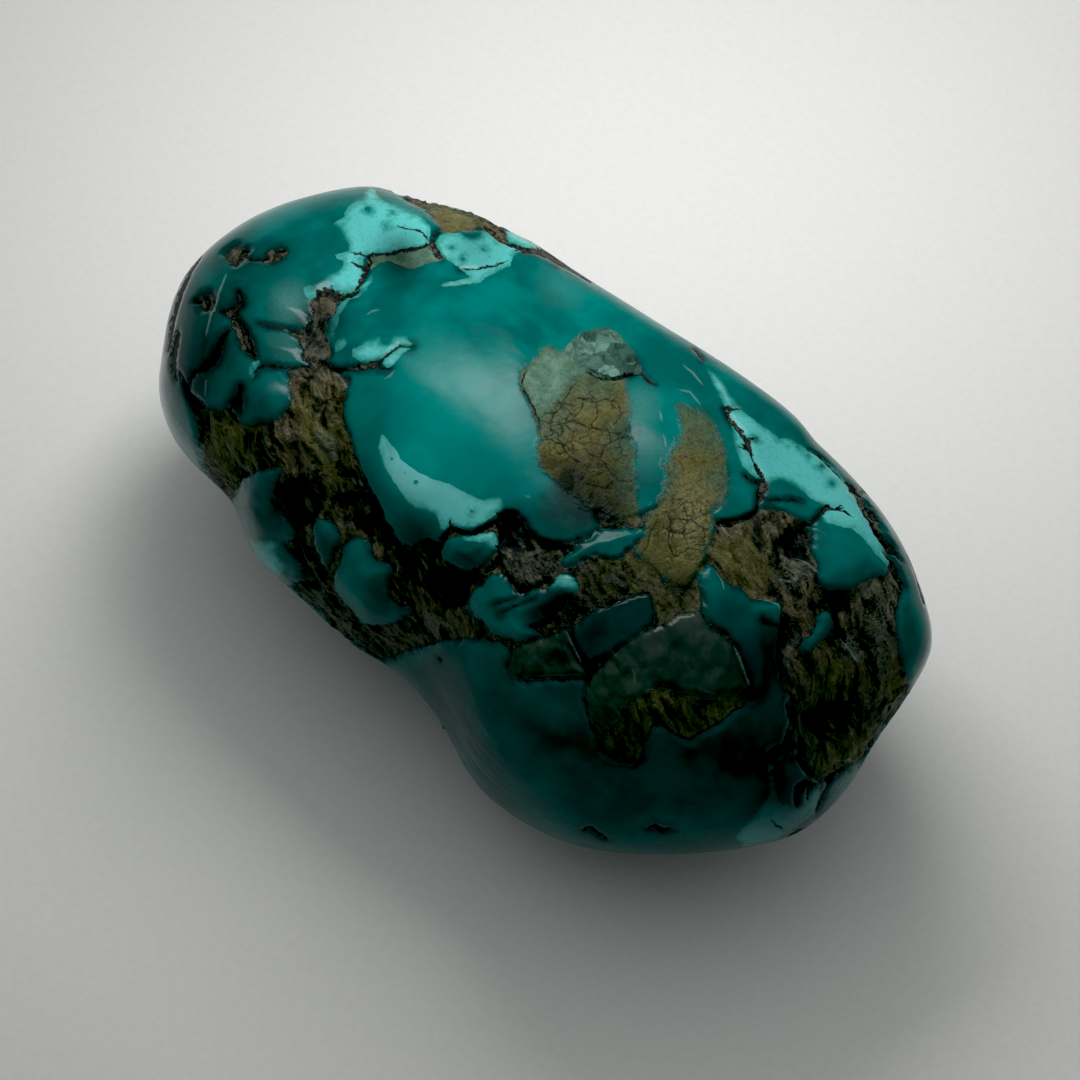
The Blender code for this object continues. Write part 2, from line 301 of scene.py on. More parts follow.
TAN = {
    "skin_patch": ROCK["skin_patch"],
    "tan_column": ROCK["tan_column"],
    "tan_bed": (
        (650, 508), (708, 512), (714, 524), (712, 540), (705, 560), (698, 572), (690, 588), (676, 592),
        (666, 580), (655, 572), (645, 562), (636, 552), (643, 532),
    ),
    "top_edge": (
        (425, 199), (436, 201), (450, 203), (465, 206), (476, 210), (478, 224), (462, 229), (452, 231),
        (444, 228), (440, 222), (433, 212),
    ),
}
OLIVE = {
    "patch_foot": ((575, 455), (600, 440), (628, 450), (632, 480), (630, 512), (600, 512), (580, 490)),
    "yellow": (
        (724, 535), (745, 532), (765, 534), (776, 550), (772, 575), (768, 595), (750, 592), (735, 580),
        (722, 566), (712, 552),
    ),
    "bed": ((588, 578), (600, 562), (625, 548), (645, 548), (662, 575), (640, 592), (610, 596), (590, 592)),
    "knee": ((655, 572), (700, 572), (702, 600), (700, 615), (672, 622), (652, 612)),
    "lip": (
        (600, 742), (606, 733), (612, 728), (618, 722), (620, 712), (628, 703), (640, 698), (650, 690),
        (658, 687), (668, 690), (680, 693), (690, 695), (700, 700), (712, 700), (725, 695), (740, 694),
        (748, 702), (733, 711), (722, 720), (712, 727), (700, 735), (690, 741), (680, 736), (665, 728),
        (652, 728), (645, 735), (645, 748), (640, 758), (632, 763), (620, 762), (608, 758), (600, 750),
    ),
    "east": ((812, 680), (822, 664), (840, 655), (850, 668), (848, 690), (836, 699), (820, 697)),
    "east_low": (
        (806, 770), (812, 752), (830, 742), (850, 748), (866, 735), (874, 720), (884, 700), (895, 680), (905, 680),
        (904, 694), (880, 735), (862, 758), (845, 764), (828, 772), (815, 780),
    ),
    "west": ((203, 402), (225, 412), (245, 426), (264, 428), (268, 455), (258, 470), (243, 488), (226, 480), (206, 450)),
    "valley": ((290, 395), (320, 385), (340, 392), (342, 420), (350, 450), (345, 482), (325, 480), (300, 440)),
    "top_edge": (
        (428, 199), (440, 202), (456, 205), (472, 208), (478, 216), (474, 224), (460, 229), (448, 228),
        (441, 220), (434, 210),
    ),
}
BLACK = {
    "pit": (
        (275, 490), (285, 482), (300, 476), (318, 484), (324, 495), (320, 510), (312, 516), (305, 524),
        (297, 530), (290, 520), (281, 510),
    ),
    "bed_low": ((425, 560), (440, 570), (470, 572), (485, 575), (468, 588), (464, 606), (440, 612), (425, 590)),
    "bed_seam": ((290, 538), (297, 545), (303, 560), (312, 575), (322, 590), (316, 592), (300, 578), (290, 552)),
    "gap": ((529, 529), (540, 538), (550, 541), (563, 543), (571, 546), (562, 551), (552, 553), (542, 551), (534, 543)),
    "chin": ((414, 545), (428, 541), (440, 544), (440, 560), (428, 562), (418, 556)),
    "east_pit": (
        (806, 712), (830, 702), (856, 704), (862, 714), (856, 728), (840, 737), (820, 738), (808, 728),
    ),
    "east_top": ((824, 592), (846, 590), (852, 600), (848, 616), (838, 612), (826, 602)),
    "east_seam": ((781, 620), (790, 612), (798, 622), (796, 640), (790, 660), (782, 668)),
    "spine": ((798, 520), (812, 522), (812, 560), (800, 562), (786, 556), (778, 562), (774, 540), (786, 528)),
    "tongue_foot": ((762, 672), (778, 668), (780, 690), (770, 697), (760, 694)),
    "bed_top": ((330, 500), (352, 492), (372, 500), (386, 526), (398, 545), (380, 552), (352, 532), (336, 516)),
    "sole": ((768, 752), (790, 752), (800, 762), (786, 766), (772, 763)),
    "crumb": ((498, 518), (514, 514), (530, 532), (533, 550), (518, 555), (500, 548)),
}
GREY = {
    "mouth": (
        (318, 312), (338, 300), (330, 318), (327, 340), (330, 360), (312, 370), (300, 360), (303, 348),
        (290, 334), (300, 328),
    ),
    "east_grit": ((778, 556), (795, 552), (812, 552), (814, 575), (800, 590), (782, 590), (776, 575)),
    "lens": ROCK["lens"],
    "spot_low": ROCK["spot_low"],
    "spot_mid": ROCK["spot_mid"],
    "spot_high": ROCK["spot_high"],
    "crumb": ((502, 545), (520, 540), (545, 556), (578, 560), (560, 576), (535, 582), (517, 583), (502, 568)),
    "crumb_top": ((500, 518), (512, 516), (526, 528), (520, 545), (502, 545)),
    "spine_low": ((632, 512), (650, 510), (656, 530), (645, 552), (630, 550), (640, 530)),
    "chip_tan": ((757, 516), (766, 511), (778, 524), (776, 530), (764, 524)),
    "west_strip": ((300, 588), (318, 590), (330, 606), (345, 628), (358, 640), (350, 642), (332, 628), (318, 608)),
    "split_grit": ((552, 560), (578, 548), (600, 545), (580, 570), (556, 576)),
    "knuckle": ((312, 432), (330, 430), (345, 452), (330, 466), (316, 452)),
    "crest": ((850, 486), (864, 492), (872, 510), (884, 532), (876, 530), (864, 510)),
    "gap_east": ((890, 560), (902, 562), (908, 575), (902, 595), (892, 585)),
    "brink": ((850, 580), (888, 578), (900, 600), (896, 660), (880, 680), (868, 640), (862, 600)),
    "heel": ((840, 636), (852, 634), (866, 650), (862, 666), (850, 664), (842, 652)),
    "lash": ((404, 620), (424, 615), (446, 620), (446, 632), (424, 638), (404, 632)),
}
SAGES = {
    "crystal": (
        (562, 355), (566, 346), (575, 338), (585, 332), (597, 329), (608, 330), (618, 335), (628, 345),
        (634, 352), (638, 362), (643, 371), (635, 374), (622, 376), (612, 378), (603, 376), (592, 372),
        (580, 366), (570, 360),
    ),
    "sage": (
        (548, 346), (556, 351), (566, 357), (578, 364), (590, 371), (578, 378), (566, 384), (560, 395),
        (548, 408), (540, 416), (534, 408), (530, 398), (522, 386), (521, 378), (526, 368), (536, 358),
    ),
    "brow": (
        (366, 258), (375, 254), (390, 254), (402, 250), (412, 247), (425, 245), (433, 243), (438, 250),
        (445, 258), (436, 262), (425, 263), (415, 268), (408, 269), (400, 266), (390, 262), (380, 263),
        (375, 266), (371, 272),
    ),
}
CHIPS = {
    "flake": (
        (510, 660), (512, 650), (520, 645), (535, 641), (550, 636), (565, 630), (569, 634), (570, 648),
        (575, 660), (582, 668), (586, 674), (584, 678), (560, 679), (535, 680), (515, 680), (508, 674),
        (506, 668),
    ),
    "plate": (
        (601, 667), (612, 655), (625, 645), (640, 633), (655, 627), (668, 622), (680, 612), (700, 612),
        (705, 620), (715, 630), (725, 637), (735, 648), (740, 660), (745, 672), (750, 684), (743, 690),
        (740, 694), (725, 695), (712, 700), (700, 700), (690, 695), (680, 693), (668, 690), (658, 687),
        (650, 690), (640, 698), (628, 703), (620, 712), (618, 722), (612, 728), (606, 733), (600, 742),
        (593, 730), (588, 715), (585, 700), (586, 690), (592, 676),
    ),
}
# the places where the host rock comes up level with the polished surface
FLUSH = ("skin_patch", "tan_column")
# the islands that don't stand up from the rock
SUNKEN = ("shade",)
# width in pixels and route of each dark line
VEINS = (
    (4.0, ((330, 366), (337, 370), (347, 369), (360, 367), (372, 363), (380, 361), (384, 357), (392, 350))),
    (2.4, ((392, 350), (400, 345), (412, 347))),
    (7.5, ((352, 369), (362, 366), (372, 364), (378, 364))),
    (2.6, ((378, 368), (390, 368))),
    (2.2, ((398, 226), (410, 228), (420, 230), (426, 236), (432, 243), (437, 252), (441, 257))),
    (2.8, ((433, 238), (438, 232), (440, 228))),
    (2.6, ((351, 252), (358, 253), (367, 256), (376, 251))),
    (2.2, ((352, 262), (360, 266), (368, 266))),
    (4.5, ((367, 256), (371, 261), (367, 268), (362, 278), (358, 286), (356, 291))),
    (5.5, ((357, 291), (345, 295), (335, 296), (328, 292))),
    (4.5, ((318, 300), (319, 291), (331, 287), (336, 296))),
    (3.2, ((258, 322), (270, 327), (285, 328), (300, 331), (312, 328))),
    (3.0, ((252, 376), (257, 367), (268, 366), (280, 368), (295, 367), (310, 365))),
    (4.6, ((438, 546), (446, 535), (451, 528), (460, 531), (472, 533), (482, 528), (490, 524), (498, 519))),
    (3.6, ((497, 520), (501, 516), (509, 514), (517, 513))),
    (2.0, ((450, 529), (450, 521))),
    (2.2, ((500, 518), (496, 513))),
    (4.5, ((497, 524), (499, 535), (498, 548), (497, 560), (500, 568), (508, 578), (515, 587), (522, 591))),
    (4.0, ((522, 591), (530, 587), (540, 584), (550, 577))),
    (4.0, ((485, 572), (492, 566), (497, 560))),
    (4.6, ((725, 408), (729, 417), (735, 425), (741, 431), (745, 437), (748, 445), (751, 452), (754, 460))),
    (4.6, ((754, 460), (757, 467), (761, 474), (763, 482), (760, 490), (759, 500), (757, 510), (750, 516))),
    (5.0, ((750, 516), (740, 519), (730, 522), (718, 522))),
    (8.5, ((762, 476), (764, 484), (761, 494), (760, 500))),
    (3.4, ((724, 408), (731, 407), (738, 409))),
    (2.4, ((745, 436), (753, 438), (758, 437))),
    (2.6, ((740, 446), (746, 448), (750, 449))),
    (3.0, ((745, 475), (752, 480), (760, 484))),
    (2.2, ((768, 500), (780, 499), (792, 499), (803, 501))),
    (4.2, ((810, 524), (816, 518), (822, 512), (828, 506), (836, 509), (841, 506))),
    (2.4, ((836, 508), (846, 511), (853, 516))),
    (5.0, ((228, 330), (222, 338), (219, 346), (217, 355), (213, 362), (204, 368), (195, 372), (190, 380))),
    (5.0, ((190, 380), (187, 392), (192, 402), (200, 408))),
    (4.0, ((176, 368), (186, 385), (190, 400), (196, 415), (200, 430), (198, 440), (205, 452))),
    (5.0, ((232, 316), (238, 318), (242, 330), (246, 338), (250, 350), (254, 356))),
    (7.0, ((240, 322), (244, 336), (246, 348))),
    (4.5, ((236, 256), (241, 251), (246, 248))),
    (4.5, ((264, 258), (272, 252), (283, 249))),
    (2.6, ((244, 254), (252, 260), (262, 258))),
    (6.0, ((203, 296), (206, 302), (204, 308))),
    (8.0, ((238, 292), (240, 304), (230, 313), (222, 312))),
    (3.5, ((198, 300), (192, 302))),
    (5.0, ((202, 252), (190, 270), (180, 292), (174, 312), (170, 332), (167, 352))),
    (6.0, ((178, 332), (174, 350), (172, 366), (176, 380))),
    (5.0, ((240, 385), (239, 398), (240, 412))),
    (3.5, ((234, 400), (228, 412), (236, 424))),
    (6.5, ((509, 242), (517, 247), (526, 250), (537, 250), (549, 255), (561, 262), (576, 270), (592, 281))),
    (6.0, ((486, 224), (495, 232), (503, 238))),
    (2.2, ((460, 269), (475, 268), (490, 266), (500, 263), (508, 260))),
    (3.4, ((860, 500), (866, 510), (875, 525), (885, 540), (893, 550), (902, 561))),
    (3.0, ((868, 504), (874, 512), (880, 520))),
    (3.0, ((884, 534), (890, 542), (897, 549))),
    (2.6, ((908, 554), (914, 566), (919, 580), (925, 604))),
    (4.0, ((884, 552), (892, 560), (898, 572), (904, 588))),
    (3.6, ((845, 481), (852, 486), (862, 494))),
    (1.6, ((808, 450), (820, 456), (832, 468), (842, 480))),
    (3.5, ((439, 658), (440, 662))),
    (3.6, ((584, 830), (590, 828), (597, 834), (606, 839))),
    (3.0, ((648, 829), (655, 826), (662, 831), (672, 829))),
    (4.5, ((762, 620), (768, 623), (776, 624))),
    (7.0, ((797, 806), (797, 796), (798, 788), (804, 783), (816, 785))),
    (4.0, ((817, 813), (820, 804), (824, 796), (826, 790))),
    (3.0, ((809, 784), (809, 792), (808, 800))),
    (2.0, ((771, 820), (776, 826), (782, 829))),
    (3.0, ((788, 838), (796, 834), (802, 829))),
    (3.5, ((772, 770), (776, 772))),
    (5.0, ((765, 762), (766, 772), (770, 776))),
    (2.4, ((826, 792), (830, 782), (840, 773), (852, 767))),
    (1.3, ((504, 612), (518, 606), (536, 598))),
    (1.2, ((498, 604), (512, 599), (526, 594))),
    (1.6, ((534, 626), (548, 622), (556, 612), (570, 600))),
    (3.4, ((376, 255), (392, 253), (408, 249), (424, 246), (433, 246))),
    (8.0, ((431, 242), (435, 249), (440, 256))),
    (2.0, ((522, 384), (524, 376), (527, 370))),
    (1.8, ((522, 385), (530, 400), (536, 412), (541, 428))),
    (1.8, ((641, 372), (648, 380), (655, 384))),
    (2.6, ((588, 372), (600, 377), (612, 379), (624, 376), (640, 373))),
    (2.0, ((693, 348), (698, 352), (703, 360))),
    (3.0, ((744, 697), (752, 700), (760, 696))),
)
# fine cracks in the crackled skin
HAIR_CRACKS = (
    (1.5, ((552, 425), (566, 423), (572, 420), (590, 427), (608, 430))),
    (1.7, ((608, 430), (612, 441), (604, 446), (601, 458), (606, 465), (615, 478))),
    (1.4, ((612, 441), (622, 437), (630, 438))),
    (1.4, ((548, 397), (554, 394), (556, 375), (566, 370), (574, 372))),
    (1.4, ((548, 397), (556, 395), (562, 405), (555, 413), (550, 424))),
    (1.3, ((562, 403), (570, 390), (577, 382))),
    (1.4, ((565, 405), (575, 418), (577, 424))),
    (1.4, ((577, 398), (584, 398), (580, 412), (572, 420))),
    (1.4, ((574, 430), (572, 440), (562, 445), (570, 456), (577, 460), (590, 468), (604, 466))),
    (1.4, ((541, 441), (550, 438), (562, 445))),
    (1.3, ((584, 398), (596, 402), (606, 398), (618, 402))),
    (1.3, ((596, 402), (598, 414), (590, 427))),
    (1.3, ((618, 402), (622, 415), (608, 430))),
    (1.2, ((601, 458), (590, 454), (584, 444), (574, 440))),
    (1.2, ((604, 446), (590, 441), (584, 444))),
    (1.4, ((577, 460), (572, 472), (582, 482), (596, 486))),
    (1.4, ((615, 478), (606, 488), (596, 486), (590, 498))),
    (1.3, ((615, 478), (626, 482), (633, 480))),
    (1.2, ((555, 413), (546, 412), (540, 420))),
    (1.4, ((521, 378), (528, 398), (534, 414), (541, 440))),
    (1.4, ((667, 512), (672, 524), (668, 540), (674, 556))),
    (1.3, ((684, 505), (688, 520), (682, 534), (690, 548))),
    (1.3, ((668, 530), (682, 534), (696, 530))),
    (1.3, ((655, 524), (668, 528), (675, 518), (688, 520), (700, 516))),
    (1.2, ((674, 556), (690, 548), (704, 550), (712, 540))),
    (1.4, ((640, 556), (648, 545), (650, 532), (657, 522))),
    (1.3, ((757, 512), (766, 522), (778, 528))),
)
# fine pale scratches and cleavage lines, and painted glints on grains
SCRATCHES_AND_PAINTED_GLINTS = (
    (2.2, ((226, 275), (220, 290), (212, 310), (206, 335))),
    (1.5, ((206, 380), (205, 395))),
    (1.8, ((386, 378), (390, 376), (394, 371))),
    (1.4, ((368, 314), (372, 311), (378, 310))),
    (1.2, ((440, 243), (444, 250), (448, 258))),
    (1.3, ((442, 285), (452, 285), (462, 284), (474, 281))),
    (1.8, ((684, 366), (692, 372), (702, 384))),
    (1.7, ((680, 390), (690, 392), (700, 404))),
    (1.7, ((713, 375), (722, 388), (730, 405))),
    (1.5, ((536, 676), (560, 675), (582, 675))),
    (1.8, ((632, 668), (635, 676), (634, 684))),
    (1.5, ((566, 631), (572, 645), (580, 662))),
    (1.7, ((736, 646), (742, 662), (750, 684))),
    (1.4, ((700, 688), (708, 692), (716, 694))),
    (1.5, ((760, 598), (772, 600), (780, 606), (780, 616))),
    (2.0, ((592, 537), (596, 530), (600, 534))),
    (2.1, ((515, 528), (518, 526), (520, 530))),
    (2.0, ((527, 496), (529, 497))),
    (2.0, ((630, 590), (632, 590))),
    (1.7, ((660, 412), (662, 420))),
    (1.7, ((664, 436), (666, 446))),
    (2.0, ((667, 488), (669, 491))),
    (1.7, ((611, 424), (613, 426))),
    (2.0, ((421, 562), (425, 570))),
    (1.5, ((397, 572), (398, 566))),
    (1.7, ((301, 322), (304, 324))),
    (1.8, ((356, 482), (359, 487))),
    (2.0, ((335, 372), (342, 380), (345, 386))),
    (1.5, ((318, 390), (322, 398))),
    (2.1, ((786, 566), (796, 572), (808, 574))),
    (1.7, ((780, 578), (792, 581), (800, 577))),
    (2.0, ((800, 556), (810, 564), (818, 572))),
    (1.8, ((842, 640), (850, 648), (858, 662))),
    (1.7, ((840, 762), (850, 760), (860, 764))),
    (1.8, ((716, 572), (722, 580), (723, 590))),
    (1.5, ((722, 524), (728, 532), (734, 536))),
)
# centre, radius in pixels, and strength of each soft-edged dark place in the stone: partly darker stone, partly painted
# shade (a negative strength makes the stone lighter there: partly paler stone, partly a painted highlight)
TINT_AND_PAINTED_LIGHT_PLACES = (
    (480, 430, 90, -0.55), (420, 400, 60, -0.3), (420, 490, 60, -0.3), (600, 300, 60, -0.2), (660, 440, 40, -0.3),
    (408, 470, 30, -0.7), (695, 500, 26, -0.6), (690, 532, 26, -0.5), (650, 400, 30, -0.2), (840, 500, 40, -0.3),
    (240, 300, 22, 0.55), (203, 302, 20, 0.4), (244, 336, 20, 0.4), (238, 254, 20, 0.4), (274, 253, 18, 0.4),
    (218, 352, 26, 0.5), (196, 385, 30, 0.65), (180, 360, 34, 0.45), (238, 400, 18, 0.6), (170, 320, 40, 0.4),
    (215, 260, 60, 0.35), (200, 340, 70, 0.45), (265, 520, 40, 0.35), (300, 560, 40, 0.3), (262, 400, 30, 0.35),
    (345, 352, 16, 0.4), (420, 545, 26, 0.5), (470, 565, 22, 0.35), (540, 525, 34, 0.45), (550, 605, 30, 0.45),
    (410, 530, 26, 0.3), (395, 600, 40, 0.3), (430, 690, 80, 0.45), (520, 710, 90, 0.5), (600, 790, 90, 0.55),
    (500, 800, 80, 0.45), (590, 640, 60, 0.75), (640, 610, 45, 0.7), (690, 750, 90, 0.32), (760, 740, 70, 0.50),
    (745, 660, 45, 0.75), (720, 620, 40, 0.45), (700, 800, 90, 0.42), (760, 690, 40, 0.7), (622, 625, 36, 0.15),
    (700, 670, 70, 0.35), (560, 670, 40, 0.15), (640, 590, 40, 0.55), (600, 585, 30, 0.45), (765, 655, 32, 0.5),
    (450, 700, 70, 0.30), (640, 810, 80, 0.25), (740, 800, 70, 0.25), (480, 780, 60, 0.2), (905, 630, 44, 0.15),
    (325, 545, 34, 0.45), (368, 590, 44, 0.08), (470, 552, 30, 0.20), (266, 508, 34, 0.40),
    (345, 215, 60, 0.15), (290, 250, 70, 0.15), (475, 250, 40, 0.40), (790, 800, 60, 0.6),
    (566, 490, 24, 0.8), (548, 462, 16, 0.6), (590, 506, 26, 0.7), (614, 516, 20, 0.6), (760, 660, 50, 0.4),
    (600, 470, 40, 0.3), (400, 258, 34, 0.75), (632, 365, 14, 0.4), (320, 325, 26, 0.75), (314, 352, 22, 0.6),
    (512, 526, 20, 0.85), (535, 560, 26, 0.35), (600, 576, 22, 0.55), (684, 592, 24, 0.6), (345, 305, 18, 0.3),
    (600, 640, 34, 0.4), (660, 650, 40, 0.4), (730, 600, 34, 0.38), (760, 650, 26, 0.5), (272, 350, 24, 0.35),
    (570, 372, 14, 0.25), (572, 478, 20, 0.6), (668, 650, 44, 0.5), (200, 235, 50, 0.25), (850, 556, 28, -0.2),
    (760, 445, 36, 0.15), (262, 396, 24, 0.2), (815, 720, 60, 0.6), (790, 650, 40, 0.5), (780, 790, 60, 0.3),
    (600, 505, 28, 0.4), (626, 430, 14, 0.5), (620, 490, 20, 0.4), (672, 545, 10, 0.3),
    (680, 600, 26, 0.4), (574, 528, 34, 0.55), (548, 512, 24, 0.4), (556, 604, 24, 0.5), (320, 288, 18, 0.5),
    (318, 312, 18, 0.3), (462, 214, 20, -0.3), (570, 480, 18, 0.6), (605, 580, 24, 0.8), (525, 568, 20, 0.4),
    (880, 712, 20, 0.8), (330, 452, 20, 0.4), (320, 326, 24, 0.6), (680, 650, 30, 0.7), (515, 625, 22, -0.5),
)
# the same for where the crackled skin turns grey-green, where a painted grey sheen veils the blue-green,
# and where the stone is best polished
GREEN_PLACES = (
    (556, 384, 46, 1.0), (600, 380, 30, 0.8), (545, 424, 28, 0.9), (628, 440, 30, 1.0), (630, 476, 26, 0.9),
    (692, 412, 34, 1.0), (668, 440, 26, 1.0), (664, 478, 22, 0.9), (722, 480, 26, 0.9), (714, 440, 20, 0.8),
    (640, 505, 26, 0.8), (712, 545, 20, 0.6),
)
PAINTED_SHEEN_PLACES = (
    (640, 405, 26, 0.6), (562, 285, 34, 0.35), (290, 304, 28, 0.75), (280, 350, 26, 0.5), (172, 398, 26, 0.6), (905, 560, 22, 0.4), (918, 600, 16, 0.5),
    (310, 335, 14, 0.5), (268, 392, 16, 0.3), (245, 560, 30, 0.3),
)
POLISHED_PLACES = (
    (250, 520, 120, 0.9), (460, 720, 150, 0.3), (230, 270, 120, 0.7), (620, 800, 150, 0.3), (910, 620, 70, 0.7),
    (170, 360, 90, 0.6),
)
# the part of the skin that is crackled
CRACKLED = (
    (542, 378), (565, 368), (590, 374), (615, 380), (624, 400), (628, 430), (632, 470), (600, 500),
    (575, 490), (550, 470), (538, 448), (542, 425), (536, 405),
)
CRACKLED_BED = ((655, 500), (700, 498), (712, 520), (708, 545), (690, 562), (655, 560), (640, 548), (648, 520))
FAR = -1.2  # mm, the distance given to what is far outside a marking


# ---------------------------------------------------------------- the skin's shape


def look_axes():
    """The camera's right, up and toward-the-eye directions, one a row."""
    turn, lift = math.radians(LOOK_AZIMUTH_DEG), math.radians(LOOK_ELEVATION_DEG)
    right = (math.cos(turn), math.sin(turn), 0.0)
    up = (-math.sin(turn) * math.sin(lift), math.cos(turn) * math.sin(lift), math.cos(lift))
    toward = (math.sin(turn) * math.cos(lift), -math.cos(turn) * math.cos(lift), math.sin(lift))
    return np.array((right, up, toward))


LOOK = look_axes()
EYE = STONE_MIDDLE + LOOK[2] * EYE_DISTANCE


def box_grid(steps):
    """The outside of a box as quads: corner numbers, and for each quad its side and its four corners."""
    corners, sides = [], []
    for axis in range(3):
        b, c = (axis + 1) % 3, (axis + 2) % 3
        i, j = (grid.ravel() for grid in np.meshgrid(range(steps[b]), range(steps[c]), indexing="ij"))
        for end in (0, 1):
            quad = np.zeros((len(i), 4, 3), int)
            quad[:, :, axis] = end * steps[axis]
            for k, (di, dj) in enumerate(((0, 0), (1, 0), (1, 1), (0, 1))):
                quad[:, k, b] = i + di
                quad[:, k, c] = j + dj
            corners.append(quad if end else quad[:, ::-1])
            sides.append(np.full(len(i), 2 * axis + end))
    corners, sides = np.concatenate(corners), np.concatenate(sides)
    numbers, quads = np.unique(corners.reshape(-1, 3), axis=0, return_inverse=True)
    return numbers, quads.reshape(-1, 4), corners, sides


def directions(numbers, steps, half_sizes):
    """Unit directions for the box's corners, drawn together toward the camera's side."""
    across = np.tan((2.0 * numbers / np.array(steps) - 1.0) * math.pi / 4)
    unit = across / np.linalg.norm(across, axis=1)[:, None]
    front = LOOK[2] / half_sizes
    front /= np.linalg.norm(front)
    along = np.clip(unit @ front, -1.0, 1.0)
    angle = np.arccos(along)
    aside = unit - along[:, None] * front
    aside /= np.maximum(np.linalg.norm(aside, axis=1), 1e-9)[:, None]
    angle = angle - FRONT_DENSITY * np.sin(angle)
    return front * np.cos(angle)[:, None] + aside * np.sin(angle)[:, None]


def smooth_solid():
    """The solid stone as a smooth surface that rays can be cast at."""
    import bmesh

    body = bmesh.new()
    body.from_mesh(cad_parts["nugget"].data)
    bmesh.ops.remove_doubles(body, verts=body.verts, dist=0.001 * MM)
    mesh = bpy.data.meshes.new("smooth_solid")
    body.to_mesh(mesh)
    body.free()
    solid = bpy.data.objects.new("smooth_solid", mesh)
    bpy.context.scene.collection.objects.link(solid)
    rounding = solid.modifiers.new("round", "SUBSURF")
    rounding.levels = rounding.render_levels = CAD_SMOOTH_LEVELS
    tree = BVHTree.FromObject(solid, bpy.context.evaluated_depsgraph_get())
    bpy.data.objects.remove(solid)
    bpy.data.meshes.remove(mesh)
    return tree


# where each side of the box lies in the bake map: left, bottom, width, height
SIDE_CHARTS = {
    5: (0.0, 0.64, 0.65, 0.36), 4: (0.0, 0.28, 0.65, 0.36), 1: (0.65, 0.64, 0.35, 0.36),
    0: (0.65, 0.28, 0.35, 0.36), 2: (0.0, 0.0, 0.5, 0.28), 3: (0.5, 0.0, 0.5, 0.28),
}
CHART_MARGIN = 0.004


def bake_map(mesh, corners, sides):
    """Lays the box's six sides out flat, as the map that the finish is baked to."""
    layer = mesh.uv_layers.new(name="OFBake")
    flat = np.zeros((len(sides), 4, 2))
    for side, (left, bottom, width, height) in SIDE_CHARTS.items():
        here = sides == side
        axis = side // 2
        wide, tall = ((1, 2), (0, 2), (0, 1))[axis]
        for k, (along, start, size) in enumerate(((wide, left, width), (tall, bottom, height))):
            part = corners[here][:, :, along] / SKIN_STEPS[along]
            flat[here, :, k] = start + CHART_MARGIN + part * (size - 2 * CHART_MARGIN)
    layer.data.foreach_set("uv", flat.reshape(-1))


def skin_mesh():
    """The stone's skin: an even grid of small quads lying on the smooth solid."""
    low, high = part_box("nugget")
    half_sizes = np.array(high - low) / (2 * MM)
    numbers, quads, corners, sides = box_grid(SKIN_STEPS)
    rays = directions(numbers, SKIN_STEPS, half_sizes) * half_sizes
    solid = smooth_solid()
    middle = Vector(STONE_MIDDLE * MM)
    points = [solid.ray_cast(middle, Vector(ray).normalized())[0] for ray in rays]
    mesh = bpy.data.meshes.new("turquoise_skin")
    mesh.from_pydata([tuple(point) for point in points], [], quads.tolist())
    mesh.update()
    bake_map(mesh, corners, sides)
    raise_ridge(mesh)
    return mesh


def read_points(mesh):
    """A mesh's corners in mm, and the ways they face."""
    points, normals = np.zeros(len(mesh.vertices) * 3), np.zeros(len(mesh.vertices) * 3)
    mesh.vertices.foreach_get("co", points)
    mesh.vertices.foreach_get("normal", normals)
    return points.reshape(-1, 3) / MM, normals.reshape(-1, 3)


def raise_ridge(mesh):
    """Swells the skin a little along the far ridge."""
    points, normals = read_points(mesh)
    depth = nearest_line(seen(points), ((2 * RIDGE_REACH, RIDGE),))[0]
    share = np.clip(depth / (RIDGE_REACH * PIXEL), 0.0, 1.0)
    rise = RIDGE_RISE * share**2 * (3.0 - 2.0 * share)
    points += normals * rise[:, None]
    mesh.vertices.foreach_set("co", (points * MM).reshape(-1))
    mesh.update()


# ---------------------------------------------------------------- markings on the skin


def seen(points):
    """Where points show, in pixels of the camera's frame."""
    across = (points - STONE_MIDDLE) @ LOOK.T
    shown = across[:, :2] * (EYE_DISTANCE / (EYE_DISTANCE - across[:, 2]))[:, None] / PIXEL
    return MIDDLE_PIXEL + shown * (1, -1)


def depth_inside(spots, outline):
    """How far each spot is inside a closed outline, in mm; negative outside."""
    edge = np.array(outline, float)
    margin = -FAR / PIXEL
    depth = np.full(len(spots), FAR)
    near = ((spots > edge.min(axis=0) - margin) & (spots < edge.max(axis=0) + margin)).all(axis=1)
    here = spots[near]
    nearest = np.full(len(here), np.inf)
    inside = np.zeros(len(here), bool)
    for start, end in zip(edge, np.roll(edge, -1, axis=0)):
        run = end - start
        part = np.clip(((here - start) @ run) / (run @ run), 0.0, 1.0)
        nearest = np.minimum(nearest, ((here - start - part[:, None] * run) ** 2).sum(axis=1))
        if run[1] != 0.0:
            beside = (start[1] > here[:, 1]) != (end[1] > here[:, 1])
            inside ^= beside & (here[:, 0] < start[0] + (here[:, 1] - start[1]) * run[0] / run[1])
    depth[near] = np.maximum(np.where(inside, 1, -1) * np.sqrt(nearest) * PIXEL, FAR)
    return depth


def depth_in_any(spots, outlines):
    """The depth inside whichever of the outlines holds each spot."""
    return np.max([depth_inside(spots, outline) for outline in outlines], axis=0)


